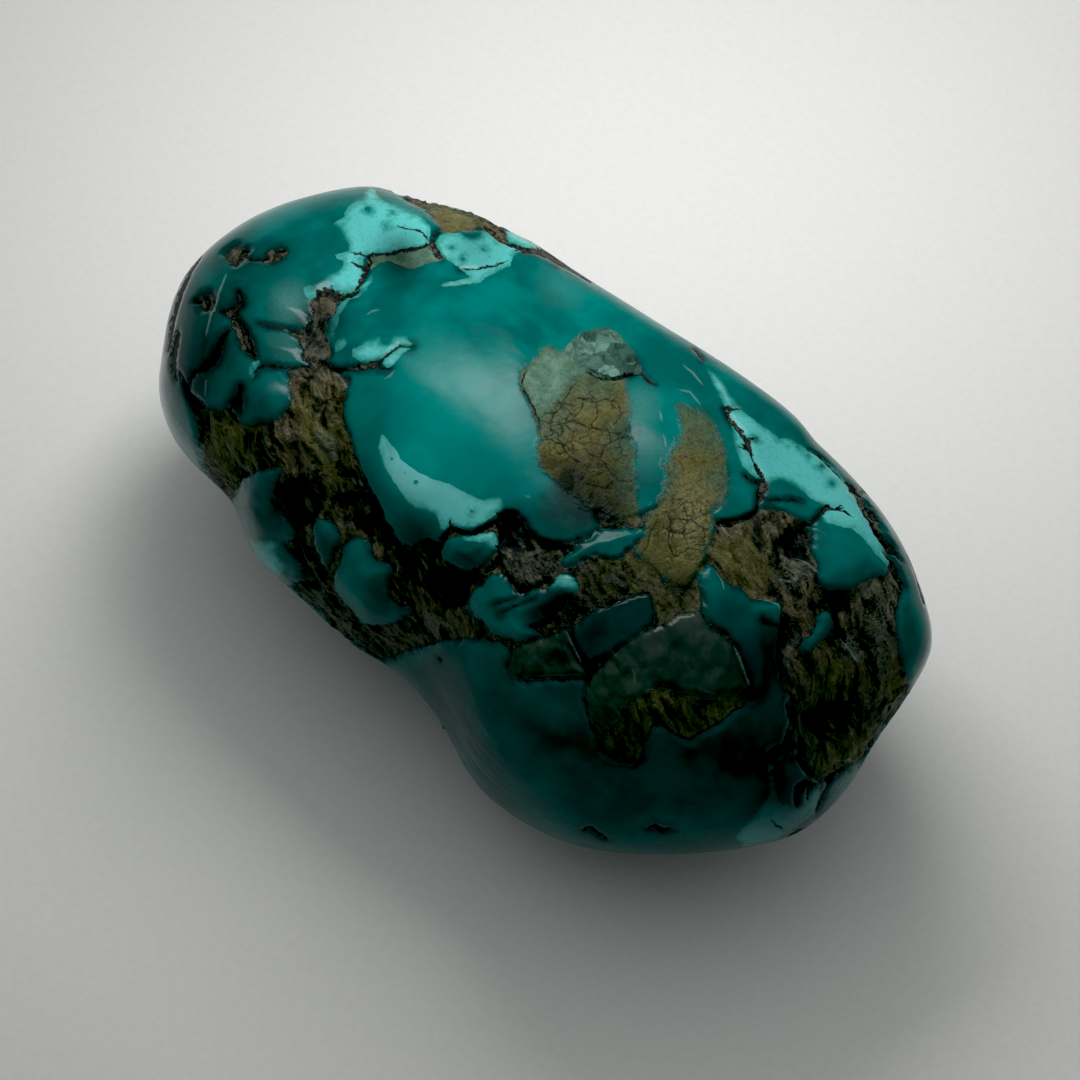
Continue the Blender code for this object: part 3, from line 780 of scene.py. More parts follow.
def nearest_line(spots, lines):
    """Each spot's depth inside the nearest line, its offset from that line's middle to one side,
    and the line's half-width there, which narrows toward both its ends. All are in mm."""
    depth, side, half = (np.full(len(spots), value) for value in (FAR, -FAR, 0.0))
    for width, route in lines:
        path = np.array(route, float)
        lengths = np.linalg.norm(np.diff(path, axis=0), axis=1)
        reached = np.concatenate(((0.0,), np.cumsum(lengths))) / lengths.sum()
        for k, (start, run) in enumerate(zip(path[:-1], np.diff(path, axis=0))):
            part = ((spots - start) @ run) / (run @ run)
            held = np.clip(part, 0.0, 1.0)
            off = np.linalg.norm(spots - start - held[:, None] * run, axis=1) * PIXEL
            across = (spots - start) @ (-run[1], run[0]) / lengths[k] * PIXEL
            along = reached[k] + held * (reached[k + 1] - reached[k])
            reach = 0.5 * width * PIXEL * (1.0 - 0.55 * np.abs(2.0 * along - 1.0) ** 3)
            nearer = reach - off > depth
            depth[nearer] = (reach - off)[nearer]
            side[nearer] = np.where(part == held, across, np.copysign(off, across))[nearer]
            half[nearer] = reach[nearer]
    return depth, side, half


def gathered(spots, places):
    """How strongly soft-edged places cover each spot, up to 1, and below 0 where they take away."""
    left = np.ones(len(spots))
    for x, y, radius, strength in places:
        near = np.clip(1.0 - np.hypot(*(spots - (x, y)).T) / (1.35 * radius), 0.0, 1.0)
        left *= 1.0 - strength * near**2 * (3.0 - 2.0 * near)
    return 1.0 - left


def drawn_markings(spots):
    """Every drawn marking's depth at the spots where the skin's points show."""
    freckles = np.max([size - np.hypot(*(spots - (x, y)).T) for x, y, size in FRECKLES], axis=0) * PIXEL
    pale = np.minimum(depth_in_any(spots, PALE.values()), -depth_in_any(spots, TEAL_IN_PALE.values()))
    islands = depth_in_any(spots, ISLANDS.values())
    swollen = [outline for name, outline in ISLANDS.items() if name not in SUNKEN]
    level = [*(ROCK[name] for name in FLUSH), TAN["tan_bed"], *SAGES.values(), *CHIPS.values()]
    broken = [outline for name, outline in ROCK.items() if name not in FLUSH]
    rock = np.minimum(depth_in_any(spots, [*ROCK.values(), *SAGES.values(), *CHIPS.values()]), -islands)
    hollow = np.minimum(np.minimum(depth_in_any(spots, broken), -islands), -depth_in_any(spots, level))
    vein, vein_side, vein_half = nearest_line(spots, VEINS)
    hair, hair_side, hair_half = nearest_line(spots, HAIR_CRACKS)
    scratch_and_painted_glint, scratch_and_painted_glint_side, scratch_and_painted_glint_half = nearest_line(spots, SCRATCHES_AND_PAINTED_GLINTS)
    return {
        "pale": np.minimum(pale, -np.maximum(freckles, FAR)),
        "rock": rock,
        "island": depth_in_any(spots, swollen),
        "hollow": hollow,
        "tan": np.minimum(depth_in_any(spots, TAN.values()), -islands),
        "olive": depth_in_any(spots, OLIVE.values()),
        "black": depth_in_any(spots, BLACK.values()),
        "grey": depth_in_any(spots, GREY.values()),
        "chip": depth_in_any(spots, CHIPS.values()),
        "sage": depth_in_any(spots, SAGES.values()),
        "crystal": depth_inside(spots, SAGES["crystal"]),
        "crackled": depth_in_any(spots, (CRACKLED, CRACKLED_BED)),
        "tint_and_painted_light": gathered(spots, TINT_AND_PAINTED_LIGHT_PLACES),
        "green": gathered(spots, GREEN_PLACES),
        "painted_sheen": gathered(spots, PAINTED_SHEEN_PLACES),
        "polish": gathered(spots, POLISHED_PLACES),
        "vein": vein,
        "vein_side": vein_side,
        "vein_half": vein_half,
        "hair": hair,
        "hair_side": hair_side,
        "hair_half": hair_half,
        "scratch_and_painted_glint": scratch_and_painted_glint,
        "scratch_and_painted_glint_side": scratch_and_painted_glint_side,
        "scratch_and_painted_glint_half": scratch_and_painted_glint_half,
    }


def cloud(points, size, seed):
    """Solid fractal noise, about -1 to 1, with lumps of the given size in mm."""
    shift = np.array((17.3, 9.1, 31.7)) * seed
    return np.array([noise.fractal(Vector(p), 0.9, 2.1, 4) for p in points / size + shift])


def wall(points, size, seed):
    """Distance in mm from the walls between solid cells of the given size."""
    shift = np.array((5.3, 27.1, 13.7)) * seed
    gaps = []
    for p in points / size + shift:
        near = noise.voronoi(Vector(p))[0]
        gaps.append(near[1] - near[0])
    return np.array(gaps) * size * 0.5


def hidden_markings(points):
    """Markings of the same kinds for the side that the camera can't see."""
    drift = np.stack([cloud(points, 4.0, seed) for seed in (1, 2, 3)], axis=1)
    bent = points + 1.1 * drift
    web = wall(bent, 6.5, 1)
    mass = cloud(points, 6.0, 4)
    rock = 1.6 * (mass - 0.22) + np.clip(0.35 - web, -0.5, 0.35)
    tone = cloud(points, 3.0, 5)
    tan = 1.8 * (cloud(points, 4.5, 7) - 0.12)
    half = 0.10 * (1.0 + mass)
    off = -np.ones(len(points))
    return {
        "pale": 2.2 * (cloud(points, 5.0, 6) - 0.26),
        "rock": rock,
        "island": off,
        "hollow": np.minimum(rock, -tan),
        "tan": tan,
        "olive": 1.5 * (tone - 0.25),
        "black": 1.5 * (-tone - 0.25),
        "grey": 1.5 * (cloud(points, 2.5, 8) - 0.3),
        "chip": 1.5 * (cloud(points, 3.5, 9) - 0.42),
        "sage": off,
        "crystal": off,
        "crackled": tan,
        "tint_and_painted_light": np.clip(0.35 - 1.2 * mass, 0.0, 0.7),
        "green": np.clip(0.5 + 2.0 * tone, 0.0, 0.8),
        "painted_sheen": 0.0 * off,
        "polish": 0.0 * off + 0.5,
        "vein": half - web,
        "vein_side": web,
        "vein_half": half,
        "hair": off,
        "hair_side": -off,
        "hair_half": 0.0 * off,
        "scratch_and_painted_glint": off,
        "scratch_and_painted_glint_side": -off,
        "scratch_and_painted_glint_half": 0.0 * off,
    }


def mark(mesh):
    """Writes every marking to the skin as an attribute."""
    count = len(mesh.vertices)
    points, normals = read_points(mesh)
    sight = EYE - points
    facing = (normals * sight).sum(axis=1) / np.linalg.norm(sight, axis=1)
    drawn_share = np.clip((facing - FADE_END) / (FADE_START - FADE_END), 0.0, 1.0)
    drawn_share = drawn_share**2 * (3.0 - 2.0 * drawn_share)
    show, hide = drawn_share > 0.0, drawn_share < 1.0
    drawn, hidden = drawn_markings(seen(points[show])), hidden_markings(points[hide])
    for name in drawn:
        depth = np.zeros(count)
        depth[show] += drawn[name] * drawn_share[show]
        depth[hide] += np.maximum(hidden[name], FAR) * (1.0 - drawn_share[hide])
        layer = mesh.attributes.new(name, "FLOAT", "POINT")
        layer.data.foreach_set("value", depth)


# ---------------------------------------------------------------- node helpers


class Nodes:
    """A short way to write a node tree."""

    def __init__(self, tree):
        self.tree = tree

    def add(self, kind, inputs=None, **settings):
        made = self.tree.nodes.new(kind)
        for name, value in settings.items():
            setattr(made, name, value)
        for name, value in (inputs or {}).items():
            socket = made.inputs[name]
            if isinstance(value, bpy.types.NodeSocket):
                self.tree.links.new(value, socket)
            else:
                socket.default_value = value
        return made

    def math(self, operation, a, b=0.0, c=0.0):
        return self.add("ShaderNodeMath", {0: a, 1: b, 2: c}, operation=operation).outputs[0]

    def ramp(self, value, low, high, to_low=0.0, to_high=1.0):
        """value from low to high, eased, as to_low to to_high."""
        made = self.add(
            "ShaderNodeMapRange",
            {"Value": value, "From Min": low, "From Max": high, "To Min": to_low, "To Max": to_high},
            interpolation_type="SMOOTHSTEP",
        )
        return made.outputs["Result"]

    def mix(self, share, a, b):
        made = self.add("ShaderNodeMix", {0: share, 6: a, 7: b}, data_type="RGBA")
        return made.outputs[2]

    def noise(self, where, per_mm, detail=3.0, roughness=0.5, distortion=0.0):
        made = self.add(
            "ShaderNodeTexNoise",
            {"Vector": where, "Scale": per_mm, "Detail": detail, "Roughness": roughness,
             "Distortion": distortion},
        )
        return made.outputs["Fac"]

    def vector(self, operation, a, b):
        made = self.add("ShaderNodeVectorMath", {0: a, 1: b}, operation=operation)
        return made.outputs["Value" if operation == "DOT_PRODUCT" else "Vector"]

    def scaled(self, vector, factor):
        return self.add("ShaderNodeVectorMath", {0: vector, "Scale": factor}, operation="SCALE").outputs[0]

    def warped(self, where, per_mm, amount):
        """Places shaken sideways by noise."""
        made = self.add("ShaderNodeTexNoise", {"Vector": where, "Scale": per_mm, "Detail": 2.0})
        shake = self.vector("SUBTRACT", made.outputs["Color"], (0.5,) * 3)
        return self.vector("ADD", where, self.scaled(shake, amount))

    def facets(self, where, per_mm, lean):
        """The height of small flat faces that each lean their own way, and a shade for each face."""
        made = self.add("ShaderNodeTexVoronoi", {"Vector": where, "Scale": per_mm}, feature="F1")
        tilt = self.vector("SUBTRACT", made.outputs["Color"], (0.5,) * 3)
        away = self.vector("SUBTRACT", where, made.outputs["Position"])
        return self.math("MULTIPLY", self.vector("DOT_PRODUCT", tilt, away), lean), made.outputs["Color"]

    def crackle(self, where):
        """0 on the plates of the crackled skin and 1 in its cracks."""
        uneven = self.noise(where, 0.9, 1.0)
        bent = self.warped(where, 1.8, 0.6)
        wide = self.ramp(uneven, 0.35, 0.65, 0.0, 0.07)
        return self.math("SUBTRACT", 1.0, self.ratio(self.cells(bent, CRACKS_PER_MM), wide))

    def ratio(self, value, whole):
        """value out of whole, eased, from 0 to 1."""
        return self.ramp(self.math("DIVIDE", value, self.math("ADD", whole, 0.001)), 0.3, 1.0)

    def ridged(self, where, per_mm, detail=3.0):
        """Thin bent threads: 1 along them and less to both sides."""
        off = self.math("ABSOLUTE", self.math("SUBTRACT", self.noise(where, per_mm, detail, 0.6), 0.5))
        return self.math("MULTIPLY_ADD", off, -4.0, 1.0)

    def drawn_out(self, where, along, share):
        """Places squeezed along one direction, so that what lies there is drawn out along it."""
        reach = self.math("MULTIPLY", self.vector("DOT_PRODUCT", where, along), -share)
        return self.vector("ADD", where, self.scaled(along, reach))

    def cells(self, where, per_mm, feature="DISTANCE_TO_EDGE", output="Distance"):
        made = self.add("ShaderNodeTexVoronoi", {"Vector": where, "Scale": per_mm}, feature=feature)
        return made.outputs[output]


# ---------------------------------------------------------------- the skin's relief


CRACKS_PER_MM = 1.15
RAGGED_PER_MM = 1.6  # how fine the ragged edges of the markings are
RELIEF = {  # mm unless a name says otherwise
    "Hollow depth": 0.26,
    "Island rise": 0.24,
    "Pit depth": 0.50,
    "Grit height": 0.15,
    "Grit per mm": 1.0,
    "Grain lean": 0.6,
    "Grains per mm": 1.5,
    "Vein depth": 0.09,
    "Patch depth": 0.02,
    "Crack depth": 0.04,
    "Chip lean": 0.16,
    "Crystal lean": 0.75,
    "Crystal rise": 0.10,
    "Wave height": 0.02,
    "Seed": 3.0,
}


def relief_tree(finish):
    """Geometry nodes that push the skin in and out along its normals by its markings."""
    tree = bpy.data.node_groups.new("stone_relief", "GeometryNodeTree")
    tree.is_modifier = True
    tree.interface.new_socket("Geometry", in_out="INPUT", socket_type="NodeSocketGeometry")
    sockets = {}
    for name, value in RELIEF.items():
        socket = tree.interface.new_socket(name, in_out="INPUT", socket_type="NodeSocketFloat")
        socket.default_value = value
        sockets[name] = socket.identifier
    tree.interface.new_socket("Geometry", in_out="OUTPUT", socket_type="NodeSocketGeometry")
    n = Nodes(tree)
    given = n.add("NodeGroupInput").outputs

    def depth_of(name):
        made = n.add("GeometryNodeInputNamedAttribute", {"Name": name}, data_type="FLOAT")
        return made.outputs["Attribute"]

    where = n.scaled(n.add("GeometryNodeInputPosition").outputs[0], 1.0 / MM)
    seeded = n.vector("ADD", where, given["Seed"])
    in_rock = n.ramp(depth_of("rock"), -0.05, 0.10)
    in_tan = n.math("MULTIPLY", n.ramp(depth_of("tan"), -0.05, 0.10), in_rock)
    in_chip = n.math("MULTIPLY", n.ramp(n.math("MAXIMUM", depth_of("chip"), depth_of("sage")), -0.03, 0.05), in_rock)
    smooth = n.math("MAXIMUM", in_tan, in_chip)
    bare = n.math("MULTIPLY", in_rock, n.math("SUBTRACT", 1.0, smooth))

    ragged = n.math("SUBTRACT", n.noise(where, RAGGED_PER_MM, 2.0, 0.68), 0.5)
    edge = n.math("MULTIPLY_ADD", ragged, 0.6, depth_of("hollow"))
    swell = n.math("MULTIPLY", n.ramp(depth_of("island"), 0.0, 1.1), given["Island rise"])
    sunk = n.math("MULTIPLY", n.ramp(edge, -0.24, 0.16), given["Hollow depth"])
    pit = n.math("MULTIPLY", n.ramp(depth_of("black"), -0.15, 0.5), given["Pit depth"])
    vein = n.math("MULTIPLY", n.ramp(depth_of("vein"), -0.12, 0.06), given["Vein depth"])
    patch = n.math("MULTIPLY", in_tan, given["Patch depth"])
    cracked = n.math("MULTIPLY", n.ramp(depth_of("crackled"), -0.1, 0.3), n.crackle(where))
    cracked = n.math("MAXIMUM", cracked, n.ramp(depth_of("hair"), -0.06, 0.04))
    crack = n.math("MULTIPLY", n.math("MULTIPLY", cracked, given["Crack depth"]), in_tan)
    streaked = n.drawn_out(n.warped(seeded, 0.45, 1.5), tuple(STREAK_WAY), 0.7)
    grit = n.math("MULTIPLY", n.ridged(streaked, given["Grit per mm"], 4.0), given["Grit height"])
    grains = n.facets(n.warped(streaked, 1.5, 0.4), given["Grains per mm"], given["Grain lean"])[0]
    shards = n.facets(seeded, 1.2, given["Chip lean"])[0]
    in_crystal = n.ramp(depth_of("crystal"), -0.05, 0.15)
    crystal = n.math("ADD", n.facets(seeded, 0.9, given["Crystal lean"])[0], given["Crystal rise"])
    wave = n.math("SUBTRACT", n.noise(seeded, 0.45, 2.0), 0.5)

    height = n.math("MULTIPLY", wave, given["Wave height"])
    for part, share in ((sunk, -1.0), (swell, 1.0), (pit, n.math("MULTIPLY", in_rock, -1.0)), (vein, -1.0), (patch, -1.0),
                        (crack, -1.0), (grit, bare), (grains, bare), (shards, in_chip), (crystal, in_crystal)):
        height = n.math("MULTIPLY_ADD", part, share, height)
    push = n.scaled(n.add("GeometryNodeInputNormal").outputs[0], n.math("MULTIPLY", height, MM))
    moved = n.add("GeometryNodeSetPosition", {"Geometry": given["Geometry"], "Offset": push})
    real = n.add("GeometryNodeRealizeInstances", {"Geometry": moved.outputs[0]})
    coated = n.add("GeometryNodeSetMaterial", {"Geometry": real.outputs[0], "Material": finish})
    n.add("NodeGroupOutput", {"Geometry": coated.outputs[0]})
    return tree, sockets


# ---------------------------------------------------------------- finishes


TEAL_DEEP = (0.0, 0.095, 0.085, 1.0)
TEAL_LIGHT = (0.0, 0.158, 0.142, 1.0)
TEAL_SHADE = (0.0, 0.018, 0.016, 1.0)
PALE_BLUE = (0.100, 0.485, 0.465, 1.0)
RIND_PALER_AND_PAINTED_HIGHLIGHT = (0.180, 0.590, 0.570, 1.0)
TEAL_PAINTED_SHEEN = (0.085, 0.225, 0.205, 1.0)
PALE_GREEN = (0.050, 0.310, 0.265, 1.0)
VEIN_BLACK = (0.005, 0.004, 0.003, 1.0)
VEIN_BROWN = (0.045, 0.029, 0.014, 1.0)
VEIN_GREY = (0.085, 0.072, 0.055, 1.0)
ROCK_DARK = (0.016, 0.0115, 0.007, 1.0)
ROCK_BROWN = (0.092, 0.075, 0.039, 1.0)
ROCK_TAN = (0.142, 0.134, 0.042, 1.0)
SKIN_BROWN = (0.068, 0.060, 0.018, 1.0)
SKIN_GREEN = (0.066, 0.116, 0.066, 1.0)
SKIN_PALER_AND_PAINTED_HIGHLIGHT = (0.250, 0.238, 0.118, 1.0)
ROCK_OLIVE = (0.092, 0.086, 0.026, 1.0)
ROCK_GREY = (0.102, 0.110, 0.084, 1.0)
ROCK_THREAD = (0.220, 0.205, 0.135, 1.0)
CHIP_GREEN = (0.028, 0.050, 0.034, 1.0)
CHIP_PALE = (0.060, 0.085, 0.060, 1.0)
CHIP_EDGE_AND_PAINTED_HIGHLIGHT = (0.095, 0.110, 0.080, 1.0)
SAGE_DARK = (0.080, 0.160, 0.108, 1.0)
SAGE_LIGHT = (0.135, 0.250, 0.180, 1.0)
CRYSTAL_DARK = (0.040, 0.100, 0.075, 1.0)
CRYSTAL_LIGHT = (0.150, 0.280, 0.225, 1.0)
SCRATCH_AND_PAINTED_GLINT_PALE = (0.300, 0.420, 0.380, 1.0)
CRACK_BROWN = (0.014, 0.011, 0.005, 1.0)
TINT_AND_PAINTED_SHADE_BLACK = (0.0, 0.0, 0.0, 1.0)
TEAL_PALER_AND_PAINTED_HIGHLIGHT = (0.0, 0.270, 0.240, 1.0)
STREAK_WAY = 0.42 * LOOK[0] - 0.91 * LOOK[1]  # the way that the rock's streaks run


def stone_finish():
    """Waxy turquoise with its pale rind, dark veins, crackled skin, grey chips and gritty host rock, with painted
    shade, highlights, sheen and glints.
    """
    finish = bpy.data.materials.new("turquoise_finish")
    finish.use_nodes = True
    tree = finish.node_tree
    tree.nodes.clear()
    n = Nodes(tree)
    where = n.scaled(n.add("ShaderNodeTexCoord").outputs["Object"], 1.0 / MM)

    def depth_of(name):
        return n.add("ShaderNodeAttribute", attribute_name=name).outputs["Fac"]

    ragged = n.math("SUBTRACT", n.noise(where, RAGGED_PER_MM, 5.0, 0.68), 0.5)
    fine = n.noise(where, 9.0, 3.0, 0.6)
    shaken = n.add("ShaderNodeTexNoise", {"Vector": where, "Scale": 3.2, "Detail": 4.0, "Roughness": 0.68})
    shake = n.add("ShaderNodeSeparateColor", {"Color": shaken.outputs["Color"]}).outputs

    def inside(name, wobble, edge):
        depth = n.math("MULTIPLY_ADD", ragged, wobble, depth_of(name))
        return n.ramp(depth, -edge, edge)

    def line(name, shift, swell, edge):
        """1 inside a drawn line whose middle is shaken aside and whose width swells and narrows."""
        aside = n.math("MULTIPLY_ADD", n.math("SUBTRACT", shake[0], 0.5), shift, depth_of(name + "_side"))
        width = n.math("MULTIPLY_ADD", n.math("SUBTRACT", shake[1], 0.5), swell, 1.0)
        inner = n.math("MULTIPLY", depth_of(name + "_half"), width)
        inner = n.math("SUBTRACT", inner, n.math("ABSOLUTE", aside))
        inner = n.math("MINIMUM", inner, n.math("ADD", depth_of(name), 0.07))
        return n.ramp(inner, -edge, edge), inner

    softness = n.ramp(n.noise(where, 0.55, 1.0), 0.40, 0.62, 0.02, 0.16)
    pale_depth = n.math("MULTIPLY_ADD", ragged, 0.32, depth_of("pale"))
    pale = n.ramp(pale_depth, n.math("MULTIPLY", softness, -1.0), softness)
    tan = inside("tan", 1.1, 0.26)
    olive = inside("olive", 1.0, 0.30)
    black = inside("black", 0.9, 0.22)
    grey = inside("grey", 1.0, 0.22)
    chip = inside("chip", 0.16, 0.03)
    sage = inside("sage", 0.80, 0.30)
    rock = n.math("MAXIMUM", n.math("MAXIMUM", inside("hollow", 0.78, 0.05), tan), chip)
    rock = n.math("MAXIMUM", rock, inside("sage", 0.20, 0.04))
    crackled = inside("crackled", 0.6, 0.25)
    vein, vein_inner = line("vein", 0.34, 3.2, 0.022)
    hair = line("hair", 0.26, 3.0, 0.02)[0]
    scratch_and_painted_glint = line("scratch_and_painted_glint", 0.06, 2.0, 0.05)[0]

    # the blue-green, darker beside the rock and the veins, and its pale rind
    tone = n.noise(where, 0.30, 3.0, 0.6)
    teal = n.mix(n.ramp(tone, 0.36, 0.64), TEAL_DEEP, TEAL_LIGHT)
    teal = n.mix(n.ramp(fine, 0.42, 0.30, 0.0, 0.3), teal, TEAL_DEEP)
    # the blue-green made paler where a tint place's strength is negative: partly paler stone, partly a painted
    # highlight
    teal = n.mix(n.math("MAXIMUM", n.math("MULTIPLY", depth_of("tint_and_painted_light"), -1.0), 0.0), teal, TEAL_PALER_AND_PAINTED_HIGHLIGHT)
    # a painted grey sheen over the blue-green at the painted sheen places
    teal = n.mix(n.math("MULTIPLY", depth_of("painted_sheen"), n.ramp(fine, 0.3, 0.7, 0.6, 1.0)), teal, TEAL_PAINTED_SHEEN)
    beside = n.math("MAXIMUM", depth_of("hollow"), n.math("ADD", depth_of("vein"), 0.05))
    reach = n.ramp(tone, 0.45, 0.6, -0.22, -0.55)
    beside = n.ramp(n.math("MULTIPLY_ADD", ragged, 0.5, beside), reach, 0.05, 0.0, 0.8)
    teal = n.mix(beside, teal, TEAL_SHADE)
    rind = n.mix(n.ramp(n.math("ADD", pale_depth, n.math("MULTIPLY", ragged, 0.8)), 0.0, 0.35), PALE_GREEN, PALE_BLUE)
    rind = n.mix(n.ramp(fine, 0.50, 0.28, 0.0, 0.4), rind, TEAL_LIGHT)
    # the rind made paler the same way: partly paler stone, partly a painted highlight
    paler_and_painted_highlight = n.math("MAXIMUM", n.math("MULTIPLY", depth_of("tint_and_painted_light"), -1.0), 0.0)
    rind = n.mix(paler_and_painted_highlight, rind, RIND_PALER_AND_PAINTED_HIGHLIGHT)
    colour = n.mix(pale, teal, rind)

    # the host rock: bent fibres, dark and brown, with olive, grey and black places and pale threads
    bent = n.warped(where, 0.45, 1.5)
    shade = n.facets(n.warped(where, 2.5, 0.35), 2.6, 0.0)[1]
    fibres = n.drawn_out(bent, tuple(STREAK_WAY), 0.78)
    broad = n.noise(n.drawn_out(bent, tuple(STREAK_WAY), 0.45), 1.0, 3.0, 0.6)
    lit = n.math("MULTIPLY_ADD", n.math("SUBTRACT", broad, 0.5), 0.7, n.noise(fibres, 3.0, 4.0, 0.62))
    lit = n.math("MULTIPLY_ADD", n.math("SUBTRACT", fine, 0.5), 0.22, lit)
    thread = n.ramp(n.ridged(fibres, 2.6), 0.78, 0.98)
    bed = n.mix(n.ramp(lit, 0.34, 0.64), ROCK_DARK, ROCK_BROWN)
    bed = n.mix(n.math("MULTIPLY", olive, n.ramp(lit, 0.30, 0.60)), bed, ROCK_OLIVE)
    speck = n.ramp(n.math("MULTIPLY_ADD", n.math("SUBTRACT", fine, 0.5), 0.9, lit), 0.40, 0.66)
    bed = n.mix(n.math("MULTIPLY", grey, speck), bed, ROCK_GREY)
    threaded = n.math("MULTIPLY", thread, n.ramp(lit, 0.44, 0.60, 0.0, 0.40))
    bed = n.mix(threaded, bed, ROCK_THREAD)
    bed = n.mix(n.math("MULTIPLY", black, n.ramp(lit, 0.70, 0.50)), bed, VEIN_BLACK)

    # the crackled skin, from tan to olive
    blend = n.noise(where, 1.1, 4.0, 0.65)
    skin = n.mix(n.ramp(blend, 0.42, 0.62), ROCK_TAN, ROCK_OLIVE)
    skin = n.mix(n.math("MULTIPLY", olive, 0.75), skin, ROCK_OLIVE)
    greener = n.math("MULTIPLY_ADD", n.math("SUBTRACT", blend, 0.5), 1.5, depth_of("green"))
    skin = n.mix(n.ramp(greener, 0.1, 0.9), skin, SKIN_GREEN)
    # the skin made paler the same way: partly paler stone, partly a painted highlight
    skin = n.mix(paler_and_painted_highlight, skin, SKIN_PALER_AND_PAINTED_HIGHLIGHT)
    skin = n.mix(n.ramp(n.noise(where, 2.2, 5.0, 0.75), 0.52, 0.34, 0.0, 0.7), skin, CRACK_BROWN)
    skin = n.mix(n.ramp(n.noise(where, 6.0, 3.0, 0.7), 0.54, 0.38, 0.0, 0.7), skin, SKIN_BROWN)
    crack = n.math("MULTIPLY", n.math("MULTIPLY", n.crackle(where), crackled), 0.75)
    skin = n.mix(n.math("MAXIMUM", crack, n.math("MULTIPLY", hair, 0.9)), skin, CRACK_BROWN)
    bed = n.mix(tan, bed, skin)

    # the smooth grey-green chips, with thin pale broken edges, lightened partly as a painted highlight
    mottle = n.ramp(blend, 0.38, 0.64)
    edge_and_painted_highlight = n.math("ABSOLUTE", n.math("MULTIPLY_ADD", ragged, 0.16, depth_of("chip")))
    edge_and_painted_highlight = n.math("MULTIPLY", n.ramp(edge_and_painted_highlight, 0.07, 0.0), n.ramp(shake[2], 0.42, 0.6))
    stone_chip = n.mix(edge_and_painted_highlight, n.mix(mottle, CHIP_GREEN, CHIP_PALE), CHIP_EDGE_AND_PAINTED_HIGHLIGHT)
    bed = n.mix(chip, bed, stone_chip)
    bed = n.mix(sage, bed, n.mix(mottle, SAGE_DARK, SAGE_LIGHT))
    face = n.facets(where, 0.9, 0.0)[1]
    creases = n.ramp(n.cells(n.warped(where, 1.5, 0.3), 1.1), 0.10, 0.0, 0.0, 0.5)
    crystal = n.mix(n.ramp(face, 0.30, 0.70), CRYSTAL_DARK, CRYSTAL_LIGHT)
    crystal = n.mix(creases, crystal, CHIP_GREEN)
    bed = n.mix(inside("crystal", 0.25, 0.05), bed, crystal)
    colour = n.mix(rock, colour, bed)
    core = n.mix(n.ramp(n.math("ADD", fine, shake[2]), 1.05, 1.2), VEIN_BLACK, VEIN_BROWN)
    core = n.mix(n.math("MULTIPLY", n.ramp(vein_inner, 0.07, 0.13), n.ramp(shake[2], 0.36, 0.56)), core, VEIN_GREY)
    colour = n.mix(vein, colour, core)
    # darkened toward black by the tint places: partly darker stone, partly painted shade
    tint_and_painted_light = n.math("MULTIPLY", depth_of("tint_and_painted_light"), n.ramp(tone, 0.2, 0.8, 1.15, 0.85))
    bare = n.math("SUBTRACT", rock, n.math("MAXIMUM", tan, sage))
    tint_and_painted_light = n.math("MULTIPLY", tint_and_painted_light, n.math("MULTIPLY_ADD", n.math("MAXIMUM", bare, 0.0), -0.35, 1.0))
    colour = n.mix(n.math("MAXIMUM", tint_and_painted_light, 0.0), colour, TINT_AND_PAINTED_SHADE_BLACK)
    # pale scratches and cleavage lines, and painted glints
    colour = n.mix(n.math("MULTIPLY", scratch_and_painted_glint, n.math("MULTIPLY_ADD", chip, -0.22, 0.33)), colour, SCRATCH_AND_PAINTED_GLINT_PALE)

    rough_rock = n.math("MULTIPLY", rock, n.math("SUBTRACT", 1.0, chip))
    rough = n.ramp(n.noise(where, 0.9, 3.0, 0.6), 0.3, 0.7, 0.23, 0.31)
    rough = n.math("MULTIPLY", rough, n.math("MULTIPLY_ADD", depth_of("polish"), -0.55, 1.0))
    rough = n.math("MAXIMUM", rough, n.math("MULTIPLY", rough_rock, n.ramp(shade, 0.3, 0.7, 0.75, 0.42)))
    rough = n.math("MAXIMUM", rough, n.math("MULTIPLY", vein, 0.6))

    bumps = n.math("MULTIPLY", n.noise(where, 5.0, 3.0, 0.7), n.math("MULTIPLY", rough_rock, 0.10))
    bumps = n.math("MULTIPLY_ADD", n.noise(where, 2.2, 3.0, 0.6), 0.007, bumps)
    bump = n.add("ShaderNodeBump", {"Height": bumps, "Distance": MM, "Strength": 1.0})

    shader = n.add(
        "ShaderNodeBsdfPrincipled",
        {"Base Color": colour, "Roughness": rough, "IOR": 1.61, "Specular IOR Level": 0.15,
         "Normal": bump.outputs[0]},
    )
    n.add("ShaderNodeOutputMaterial", {"Surface": shader.outputs[0]})
    return finish


def paper_finish():
    """Off-white sketching paper with a faint tooth."""
    finish = bpy.data.materials.new("pale_paper")
    finish.use_nodes = True
    tree = finish.node_tree
    tree.nodes.clear()
    n = Nodes(tree)
    where = n.scaled(n.add("ShaderNodeTexCoord").outputs["Object"], 1.0 / MM)
    tooth = n.noise(where, 2.5, 4.0, 0.6)
    colour = n.mix(n.ramp(tooth, 0.3, 0.7), (0.765, 0.770, 0.745, 1.0), (0.795, 0.800, 0.780, 1.0))
    bump = n.add("ShaderNodeBump", {"Height": tooth, "Distance": 0.02 * MM, "Strength": 0.6})
    shader = n.add(
        "ShaderNodeBsdfPrincipled", {"Base Color": colour, "Roughness": 0.85, "Normal": bump.outputs[0]}
    )
    n.add("ShaderNodeOutputMaterial", {"Surface": shader.outputs[0]})
    return finish


# ---------------------------------------------------------------- the stone and its table


